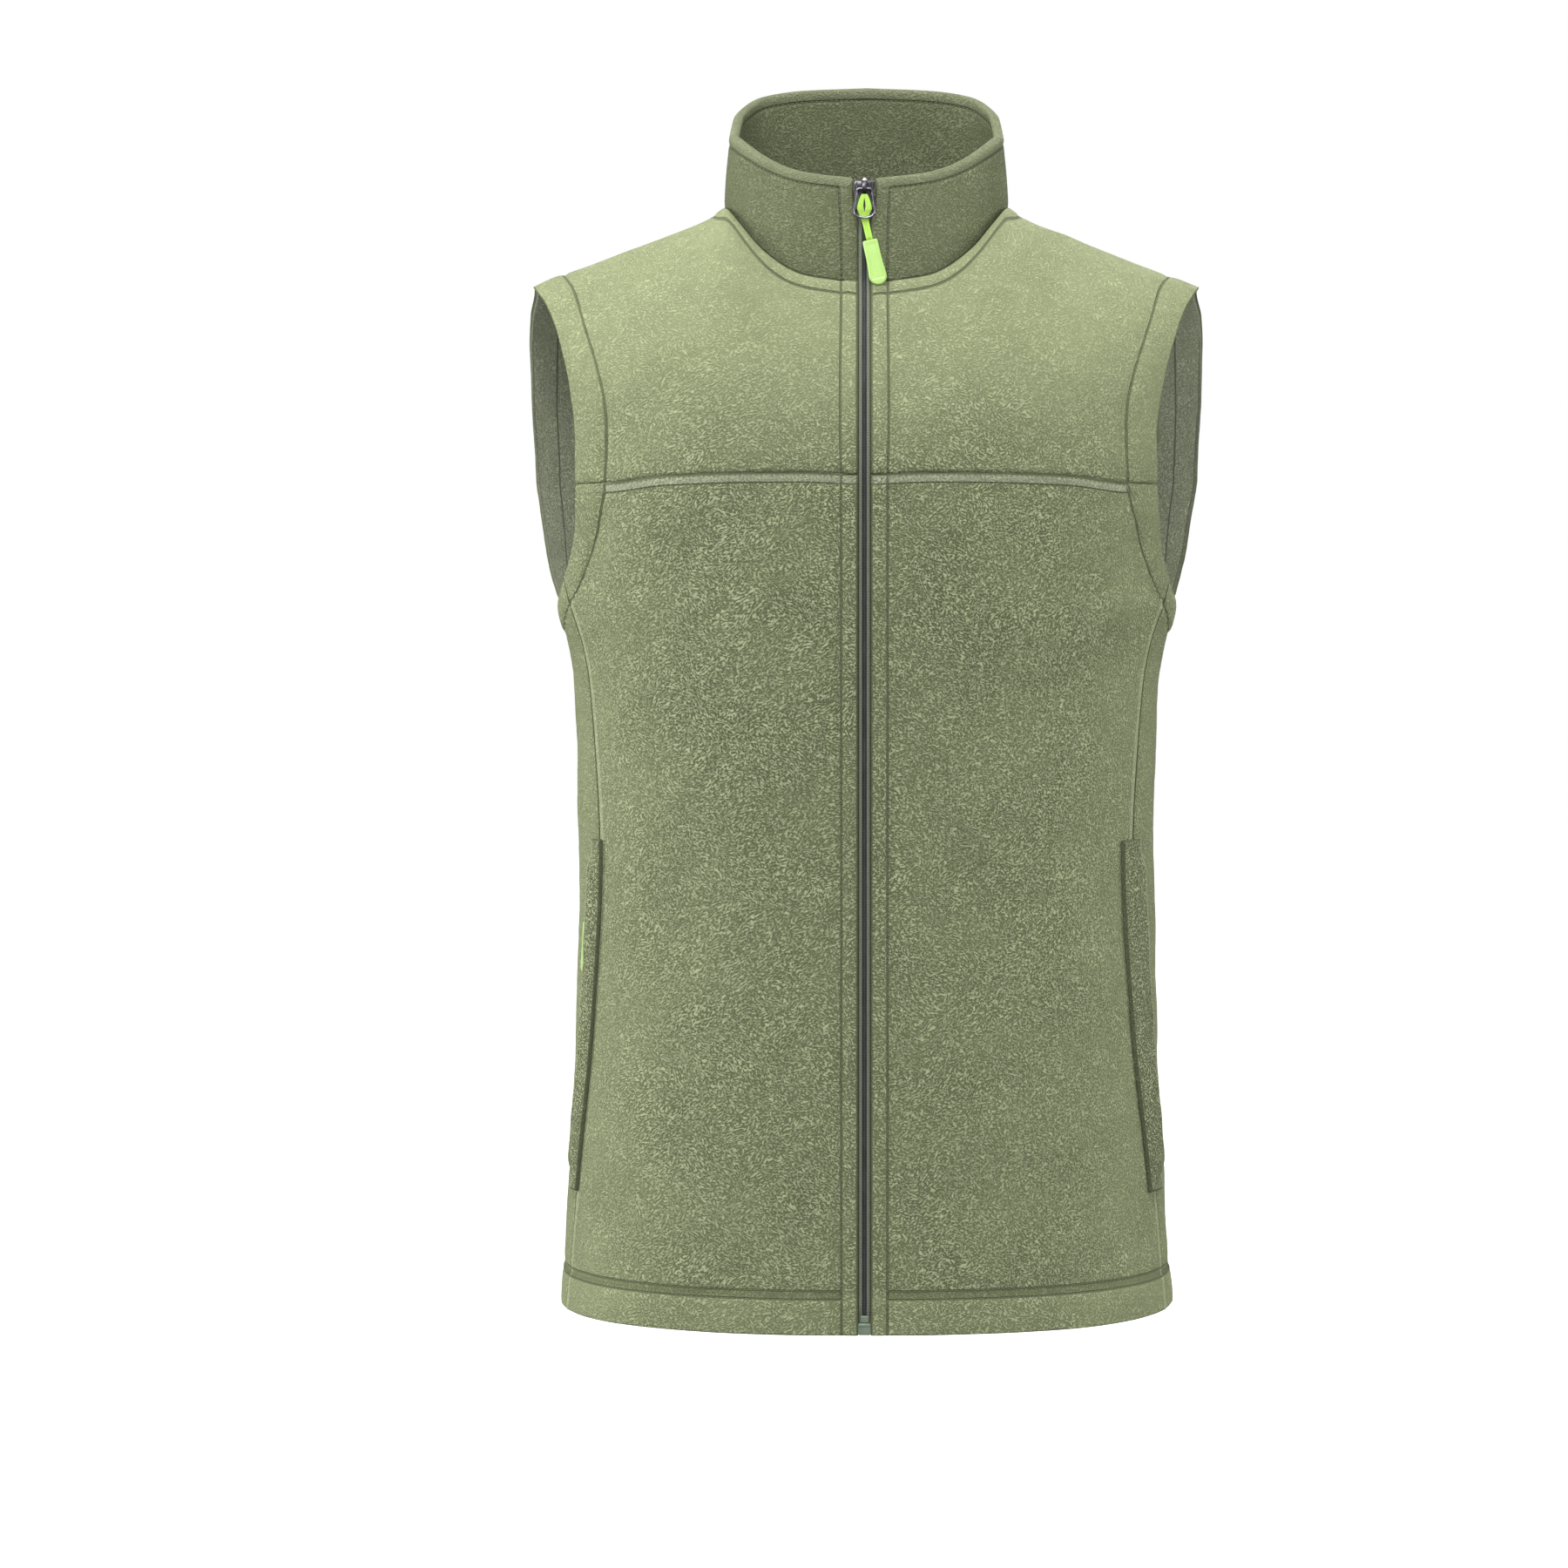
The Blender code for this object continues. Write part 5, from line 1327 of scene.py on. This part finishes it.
spine = np.array([zip_section([(-0.75, -1.75), (0.75, -1.75)], level, kind)
                  for level, kind in levels(HEM_Z + COIL_BOTTOM, 2.0)])
run = run_length(spine.mean(axis=1))
spots = np.arange(0, run[-1], 0.68)
near, far = (along_run(spine[:, k], run, spots) for k in (0, 1))
weave = np.where((np.arange(len(spots)) % 2 == 0)[:, None], near, far)
core = [zip_section([(1.2, -2.5), (-1.2, -2.5), (-1.2, -3.2), (1.2, -3.2)], level, kind)
        for level, kind in levels(HEM_Z + COIL_BOTTOM - 3.0, 4.0)]
dress(piece("zip_coil_teeth", [tube(weave, 0.36, 6), lofted(core)], COIL), "vest", "zip_coil", "zip_coil")

# Height above the hem, half width, lowest and highest lift
ZIP_BOX = [(0.4, 3.2, -2.2, 0.1), (0.9, 3.9, -2.4, 0.5), (2.0, 3.95, -2.4, 0.6), (5.6, 3.95, -2.4, 0.6),
           (6.8, 3.9, -2.4, 0.5), (7.4, 3.2, -2.2, 0.1)]
ZIP_PIN = [(7.4, 2.0, -2.3, -1.4), (7.9, 2.7, -2.4, -0.9), (11.2, 2.6, -2.4, -0.9), (11.9, 1.9, -2.3, -1.4)]
rings, stop = ([zip_section(box_outline(half, low, high, corner), HEM_Z + rise, "chest")
                for rise, half, low, high in rounded(table, count)]
               for table, count, corner in ((ZIP_BOX, 22, 0.5), (ZIP_PIN, 14, 0.35)))
lip = [zip_section(box_outline(3.55, 0.4, 0.85, 0.2), HEM_Z + rise, "chest") for rise in (5.7, 5.9, 6.5, 6.7)]
dress(piece("zip_box_and_pin", [lofted(rings), lofted(stop), lofted(lip)], RETAINER),
      "vest", "zip_end", "zip_retainer")


# ---------------------------------------------------------------- slider and pull

# Height on the collar's face, half width, lift
PLATE = [(-7.6, 1.3, 0.5), (-6.4, 2.4, 1.1), (-2.0, 3.0, 1.5), (2.6, 3.9, 1.6), (6.5, 5.3, 1.6),
         (9.8, 6.6, 1.6), (12.0, 6.1, 1.4), (13.3, 4.3, 0.6)]
plate = [face_ring(z, box_outline(half, -0.5, lift, 0.45, 4)) for z, half, lift in rounded(PLATE, 40)]
rails = []
for flip in (-1, 1):
    line = rounded([(2.2, -5.6), (2.7, -1.5), (3.4, 2.6), (4.0, 6.0), (4.6, 9.4), (4.9, 11.4)], 24)
    rails.append(tube([on_face(flip * a, z, 1.55) for a, z in line], 0.42, 8))
arch = []
middles = rounded([(-2.6, -2.4), (-1.8, -0.2), (-0.9, 1.15), (0.4, 1.75), (2.2, 1.5), (3.6, 0.6), (4.9, -0.6),
                   (5.6, -2.4)], 28)
halves = rounded([(1.2,), (1.2,), (1.3,), (1.4,), (1.5,), (1.7,), (1.9,), (1.9,)], 28)[:, 0]
ways = unit(np.gradient(middles, axis=0))
for (z, lift), (way_z, way_lift), half in zip(middles, ways, halves):
    ring = []
    for a, b in box_outline(half, -0.5, 0.5, 0.3, 3):
        ring.append(on_face(a, HINGE_Z + z - way_lift * b, HINGE_LIFT + lift + way_z * b))
    arch.append(ring)
KNOB = 1.6                # radius
circle = np.linspace(0, 2 * math.pi, 16, endpoint=False)
knob = []
for t in np.linspace(-1.45, 1.45, 11):
    outline = [(KNOB * math.cos(t) * math.cos(a), 1.9 + KNOB * math.cos(t) * math.sin(a)) for a in circle]
    knob.append(face_ring(12.4 + math.sin(t) * KNOB, outline))
dress(piece("zip_slider_cast", [lofted(plate), *rails, lofted(arch)], GUNMETAL), "vest", "gunmetal",
      "zip_slider")
dress(piece("zip_slider_knob", [lofted(knob)], PLATED), "vest", "gunmetal")

half_wire = np.array(BAIL)
run = run_length(half_wire)
curves = [smooth([(r, a, d) for r, (a, d) in zip(run, BAIL)], k) for k in (1, 2)]
wire = [(float(curves[0](r)), float(curves[1](r))) for r in np.linspace(0, run[-1], 49)]
wire += [(-a, d) for a, d in wire[-2:0:-1]]
path = [on_face(a, HINGE_Z + d, HINGE_LIFT) for a, d in wire]
dress(piece("zip_bail_wire", [tube(path, WIRE, 12, closed=True)], BAIL_WIRE), "zip_pull", "gunmetal",
      "zip_bail")


def pull_ring(down, outline):
    return [on_pull(a, down, b) for a, b in outline]


# Height below the hinge, a strand's middle, its half width, lift
STRAND = [(-3.5, 0.7, 1.0, 0.0), (-5.0, 1.2, 1.35, 0.0), (-7.0, 1.75, 1.55, 0.0), (-9.0, 2.2, 1.7, 0.0),
          (-11.0, 2.5, 1.85, -0.1), (-12.7, 2.4, 2.05, -0.3), (-14.8, 1.7, 1.8, -1.0),
          (-17.5, 1.15, 1.3, -1.5), (-20.0, 1.0, 1.05, -1.7), (-31.8, 1.0, 0.98, -0.8)]
strands = []
for flip in (-1, 1):
    rings = []
    for down, middle, half, lift in rounded(STRAND, 60):
        outline = box_outline(half, -0.5, 0.5, 0.32, 3)
        rings.append(pull_ring(down, [(flip * middle + a, lift + b) for a, b in outline]))
    strands.append(lofted(rings))
dress(piece("zip_loop_cord", strands, LIME_CORD), "zip_pull", "lime_cord", "zip_loop")


def grip_outline(half, thick, sunk):
    """The grip's rounded section, its face sunk inside a rim."""
    edge = [(half, 0.0), (half - 0.12, thick * 0.45), (half - 0.5, thick * 0.8), (half - 1.0, thick)]
    face = [(half - 1.25, thick), (half - 1.5, thick - sunk), ((half - 1.5) / 2, thick - sunk),
            (0, thick - sunk)]
    top = edge + face
    upper = top + [(-a, b) for a, b in top[-2::-1]]
    return upper + [(a, -b) for a, b in upper[-2:0:-1]]


grip_top = LOOP_END - 0.05
rings = []
for down, half, thick in rounded(GRIP_RINGS, 70):
    sunk = 0.3 * float(ease(1.6, 2.2, down) * (1 - ease(24.0, 24.8, down)))
    lift = -0.8 + 0.3 * ease(0, 8, down)
    half = max(half, 1.7)
    rings.append(pull_ring(grip_top - down, [(a, lift + b) for a, b in grip_outline(half, thick, sunk)]))
dress(piece("zip_grip_moulded", [lofted(rings)], LIME_GRIP), "zip_pull", "lime_grip", "zip_grip")


# ---------------------------------------------------------------- pockets

WELT_END = 14.0           # length of the flat part at both ends of a welt


def welt_grid(side):
    """Outer and inner points of a welt: a folded strip that stands off the side seam."""
    front, steps = WELT_FRONT[side], np.array([0, .25, .6, 1.1, 1.8])
    low, high = POCKET_BOTTOM - 6, POCKET_TOP + 6
    heights = np.concatenate([low + steps, np.arange(low + 4, high - 3, 2.6), high - steps[::-1]])
    outer, inner, rims, frees = [], [], [], []
    for z in heights:
        open_here = float(ease(POCKET_BOTTOM, POCKET_BOTTOM + WELT_END, z)
                          * (1 - ease(POCKET_TOP - WELT_END, POCKET_TOP, z)))
        back = WELT_BACK - WELT_TAPER * (1 - open_here)
        width = front + back
        along = np.concatenate([steps, np.linspace(2.8, width - 2.8, 14), width - steps[::-1]])
        share = along / width
        lift = SEAM_GAP + (WELT_STAND - SEAM_GAP) * open_here * ease(0, 0.6, share)
        edge = np.minimum(np.minimum(along, width - along), min(z - low, high - z))
        lost = worn_off(edge)
        puff = 0.5 * np.sin(math.pi * share) ** 0.7 + swell(width - along, 0.3, 4.5, 0.5) * open_here
        wave_here = 0.25 * math.sin(z * 0.11) + 0.15 * math.sin(z * 0.29 + 1)
        outline = list(zip(front * -1 + along, lift + WELT_CLOTH + puff - lost + wave_here * share))
        outer.append(side_section(z, outline))
        inner.append(side_section(z, list(zip(front * -1 + along, lift + 0.9 * lost))))
        rims.append(np.minimum(np.minimum(along, z - low), high - z))
        frees.append(width - along)
    return np.array(outer), np.array(inner), {"rim": np.array(rims), "free": np.array(frees)}


for side, sign in SIDES.items():
    outer, inner, fields = welt_grid(side)
    fields = {**fields, "nap": np.full(outer.shape[:2], 0.85)}
    made = grid_mesh("welt_%s_cloth" % side, outer, inner, fields, FLEECE_WELT, sign)
    SKIN["welt_" + side] = outer * [sign, 1, 1]
    FIELDS["welt_" + side] = fields
    dress(made, "vest", "welt_fleece", "welt_" + side)

    flip = np.array([sign, 1, 1])
    strip = [side_section(z, STRIP) * flip for z in np.arange(POCKET_BOTTOM + 9, POCKET_TOP - 8.9, 4.0)]
    made = piece("pocket_zip_%s_weave" % side, [lofted(strip)], ZIP_TAPE)
    dress(made, "vest", "zip_tape", "pocket_zip_" + side)
    heights = np.arange(POCKET_BOTTOM + 9.5, POCKET_TOP - 9.5, 0.72)
    near = np.array([side_section(z, [(-0.55 if i % 2 else 0.55, -0.25)])[0]
                     for i, z in enumerate(heights)]) * flip
    dress(piece("pocket_coil_" + side, [tube(near, 0.3, 6, up=(sign, 0, 0))], COIL), "vest", "zip_coil")

    rings = [side_section(POCKET_TOP + drop, box_outline(half, -0.1, lift, 0.3)) * flip
             for drop, half, lift in rounded(POCKET_SLIDER, 16)]
    dress(piece("pocket_slider_%s_cast" % side, [lofted(rings)], GUNMETAL), "vest", "gunmetal",
          "pocket_slider_" + side)
    rings = []
    for drop, near_edge, far_edge, lift in rounded(POCKET_PULL, 40):
        middle, half = (near_edge + far_edge) / 2, (far_edge - near_edge) / 2
        middle += PULL_HANG[side] * float(ease(32, 46, -drop))
        outline = [(middle + a, b) for a, b in box_outline(half, 0.35, lift + 0.35, 0.35)]
        rings.append(side_section(POCKET_TOP + drop, outline) * flip)
    dress(piece("pocket_pull_%s_moulded" % side, [lofted(rings)], LIME_GRIP), "vest", "lime_grip",
          "pocket_pull_" + side)


# ---------------------------------------------------------------- seam allowances

def allowance(line, normals, sign, half=3.5):
    """The turned edges of a seam, pressed flat inside along a run of points."""
    flip = np.array([sign, 1, 1])
    line = folded(line * flip, normals * flip)
    normals = normals * flip
    across = unit(np.cross(np.gradient(line, axis=0), normals))
    return lofted([[p + a * c - d * n for a, d in ((-half, 1.3), (half, 1.3), (half, 3.0), (-half, 3.0))]
                   for p, c, n in zip(line, across, normals)])


strips = []
for sign in SIDES.values():
    for low, high in ((HEM_Z + 1.0, POCKET_BOTTOM - 3), (POCKET_TOP + 3, SEAM_TOP - 1)):
        line = side_line(np.linspace(low, high, 50))
        strips.append(allowance(line, body_normal(line), sign))
    line = YOKE_LINE[(YOKE_LINE[:, 0] > ZIP_HALF + 4)][:-1]
    strips.append(allowance(line, body_normal(line), sign))
    line = shoulder(np.linspace(COLLAR[SIDE_NECK][1] + 3, ARMHOLE[-1][1] - 2, 40))
    up = unit(np.cross(np.gradient(line, axis=0), [0, -1, 0]))
    strips.append(allowance(line, up * np.sign(up[:, 2:]), sign))
dress(piece("seam_allowances", strips, ALLOWANCE), "vest", "fleece")


# ---------------------------------------------------------------- sewing

def contours(grid, field, level):
    """Runs of points on a grid along which a field has one value."""
    above = field > level
    mixed = (above[:-1, :-1].astype(int) + above[1:, :-1] + above[:-1, 1:] + above[1:, 1:]) % 4 != 0
    links, spots = {}, {}
    for i, j in np.argwhere(mixed):
        corners = [(i, j), (i, j + 1), (i + 1, j + 1), (i + 1, j)]
        hits = []
        for one, two in zip(corners, corners[1:] + corners[:1]):
            if above[one] != above[two]:
                key = (min(one, two), max(one, two))
                if key not in spots:
                    a, b = key
                    spots[key] = grid[a] + (grid[b] - grid[a]) * (level - field[a]) / (field[b] - field[a])
                hits.append(key)
        for one, two in zip(hits[::2], hits[1::2]):
            links.setdefault(one, []).append(two)
            links.setdefault(two, []).append(one)
    runs, left_over = [], dict.fromkeys(links)
    while left_over:
        start = next((key for key in left_over if len(links[key]) == 1), next(iter(left_over)))
        run_keys, here = [start], start
        del left_over[start]
        while True:
            here = next((key for key in links[here] if key in left_over), None)
            if here is None:
                break
            run_keys.append(here)
            del left_over[here]
        if len(run_keys) > 3:
            runs.append(np.array([spots[key] for key in run_keys]))
    return runs


def skin_tree(nodes):
    """A tree of the outer faces of some pieces, to lay stitches on."""
    verts, faces, offset = [], [], 0
    for node in nodes:
        grid = SKIN[node]
        index = np.arange(grid.shape[0] * grid.shape[1]).reshape(grid.shape[:2]) + offset
        quads = grid_quads(index)
        verts.append(grid.reshape(-1, 3))
        faces += (quads[:, ::-1] if node.endswith("_right") or node == "collar" else quads).tolist()
        offset += index.size
    return BVHTree.FromPolygons(np.concatenate(verts).tolist(), faces)


STITCH_SIDES = 6
STITCH_RINGS = [(-0.5, 0.35, -0.9), (-0.38, 0.85, -0.35), (0.0, 1.0, 0.0), (0.38, 0.85, -0.35),
                (0.5, 0.35, -0.9)]


def stitch(middle, way, normal, long, radius):
    """One thread lying on the cloth, its ends pulled into it."""
    side = np.cross(normal, way)
    angles = np.linspace(0, 2 * math.pi, STITCH_SIDES, endpoint=False)
    rings = [middle + way * at * long + normal * dip * radius
             + radius * thick * (np.cos(angles)[:, None] * side + np.sin(angles)[:, None] * normal)
             for at, thick, dip in STITCH_RINGS]
    return lofted(rings)


def sew(runs, tree, pitch=3.2, long=2.6, radius=0.27, lift=0.05, trim=1.5):
    """Stitches along runs of points, laid on the cloth under them."""
    made = []
    for points in runs:
        run = run_length(points)
        if run[-1] < pitch * 2:
            continue
        for spot in np.arange(trim, run[-1] - trim, pitch):
            here, after = (along_run(points, run, spot + d) for d in (-0.6, 0.6))
            place, normal, _, _ = tree.find_nearest(Vector((here + after) / 2))
            normal = np.array(normal)
            way = after - here
            way = unit(way - normal * (way @ normal))
            made.append(stitch(np.array(place) + normal * lift, way, normal, long, radius))
    return made


def ladder(one, two, tree, pitch=2.2, radius=0.2):
    """Threads that cross between two runs of stitches."""
    runs = [run_length(one), run_length(two)]
    count = int(min(runs[0][-1], runs[1][-1]) / pitch)
    made = []
    for k in range(1, count):
        ends = []
        for points, run, shift in ((one, runs[0], 0.0), (two, runs[1], 0.5)):
            at = (k + shift) / count * run[-1]
            ends.append(along_run(points, run, at))
        place, normal, _, _ = tree.find_nearest(Vector((ends[0] + ends[1]) / 2))
        normal = np.array(normal)
        way = ends[1] - ends[0]
        long = float(np.linalg.norm(way))
        if long < 9:
            way = unit(way - normal * (way @ normal))
            made.append(stitch(np.array(place) + normal * 0.12, way, normal, long * 0.96, radius))
    return made


def keep_clear(points, distance):
    """Which points of a run lie further than a distance from the armhole's edge."""
    return distance_to(on_one_side(points), ARM_RING) > distance


def from_top(points):
    """The same run, read from the end that is higher or further left."""
    return points if points[0] @ [1, 0, 1] < points[-1] @ [1, 0, 1] else points[::-1]


def sewn(node, tree, lines):
    """Stitches along some lines of a piece."""
    made = []
    for field, at in lines:
        made += sew(contours(SKIN[node], FIELDS[node][field], at), tree)
    return made


threads, ladders = [], []
for side, sign in SIDES.items():
    tree = skin_tree(["front_" + side, "yoke_" + side])
    for node in ("front_" + side, "yoke_" + side):
        lines = [("zip", ZIP_TURN), ("arm", ARMHOLE_TURN), ("neck", NECK_STITCH)]
        threads += sewn(node, tree, lines if node.startswith("yoke") else lines[:2])
    grid, fields = SKIN["front_" + side], FIELDS["front_" + side]
    for field, rows in (("yoke", YOKE_ROWS), ("hem", HEM_ROWS)):
        pair = []
        for at in rows:
            run = from_top(max(contours(grid, fields[field], at), key=len))
            run = run[keep_clear(run, ARMHOLE_TURN) & (np.abs(run[:, 0] - ZIP_X) > ZIP_HALF + ZIP_TURN)]
            pair.append(run)
        threads += sew(pair, tree)
        (ladders if field == "yoke" else threads).extend(ladder(pair[0], pair[1], tree))
    welt = skin_tree(["welt_" + side])
    grid, field = SKIN["welt_" + side], FIELDS["welt_" + side]["rim"]
    front = np.s_[:, :len(grid[0]) // 2]
    threads += sew(contours(grid[front], field[front], WELT_STITCH), welt, radius=0.22)

grid, fields = SKIN["collar"], FIELDS["collar"]
tree = skin_tree(["collar"])
runs = [run[np.abs(run[:, 0] - ZIP_X) > ZIP_HALF + ZIP_TURN]
        for run in contours(grid, fields["rim"], RIM_STITCH)]
outer_face = np.arange(grid.shape[1]) < grid.shape[1] // 2 - 4
upright = np.where((fields["rim"] > RIM_STITCH) & outer_face, fields["zip"], FAR)
threads += sew(runs, tree)
threads += sew([run for run in contours(grid, upright, ZIP_TURN) if np.ptp(run[:, 2]) > 20
                and np.ptp(run[:, 0]) < 12], tree)

tree = skin_tree(["back"])
grid, fields = SKIN["back"], FIELDS["back"]
pair = []
for at in HEM_ROWS:
    runs = contours(grid, fields["hem"], at)
    threads += sew(runs, tree)
    pair.append(from_top(max(runs, key=len)))
threads += ladder(pair[0], pair[1], tree)
threads += sewn("back", tree, [("arm", ARMHOLE_TURN), ("neck", NECK_STITCH)])

dress(piece("stitches_body", threads, THREAD), "vest", "fleece")
dress(piece("stitches_ladder", ladders, LADDER_THREAD), "vest", "fleece")


# ---------------------------------------------------------------- floor

FLOOR_Z = -1.12
floor_surface = Nodes("floor")
pale = floor_surface.mix(floor_surface.noise(3.0, 2.0).outputs["Fac"], (0.98, 0.98, 0.98), (1.0, 1.0, 1.0))
floor_surface.finish((0.5, 0.5, 0.5), 1.0, Emission_Strength=1.0, Specular_IOR_Level=0.0)
floor_surface.link(pale, floor_surface.shader.inputs["Emission Color"])
reach = 14.0
floor = solid("floor", np.array([(-reach, -reach, FLOOR_Z), (reach, -reach, FLOOR_Z), (reach, reach, FLOOR_Z),
                                 (-reach, reach, FLOOR_Z)]), [(0, 1, 2, 3)], floor_surface.surface)
floor.visible_diffuse = floor.visible_shadow = floor.visible_glossy = False
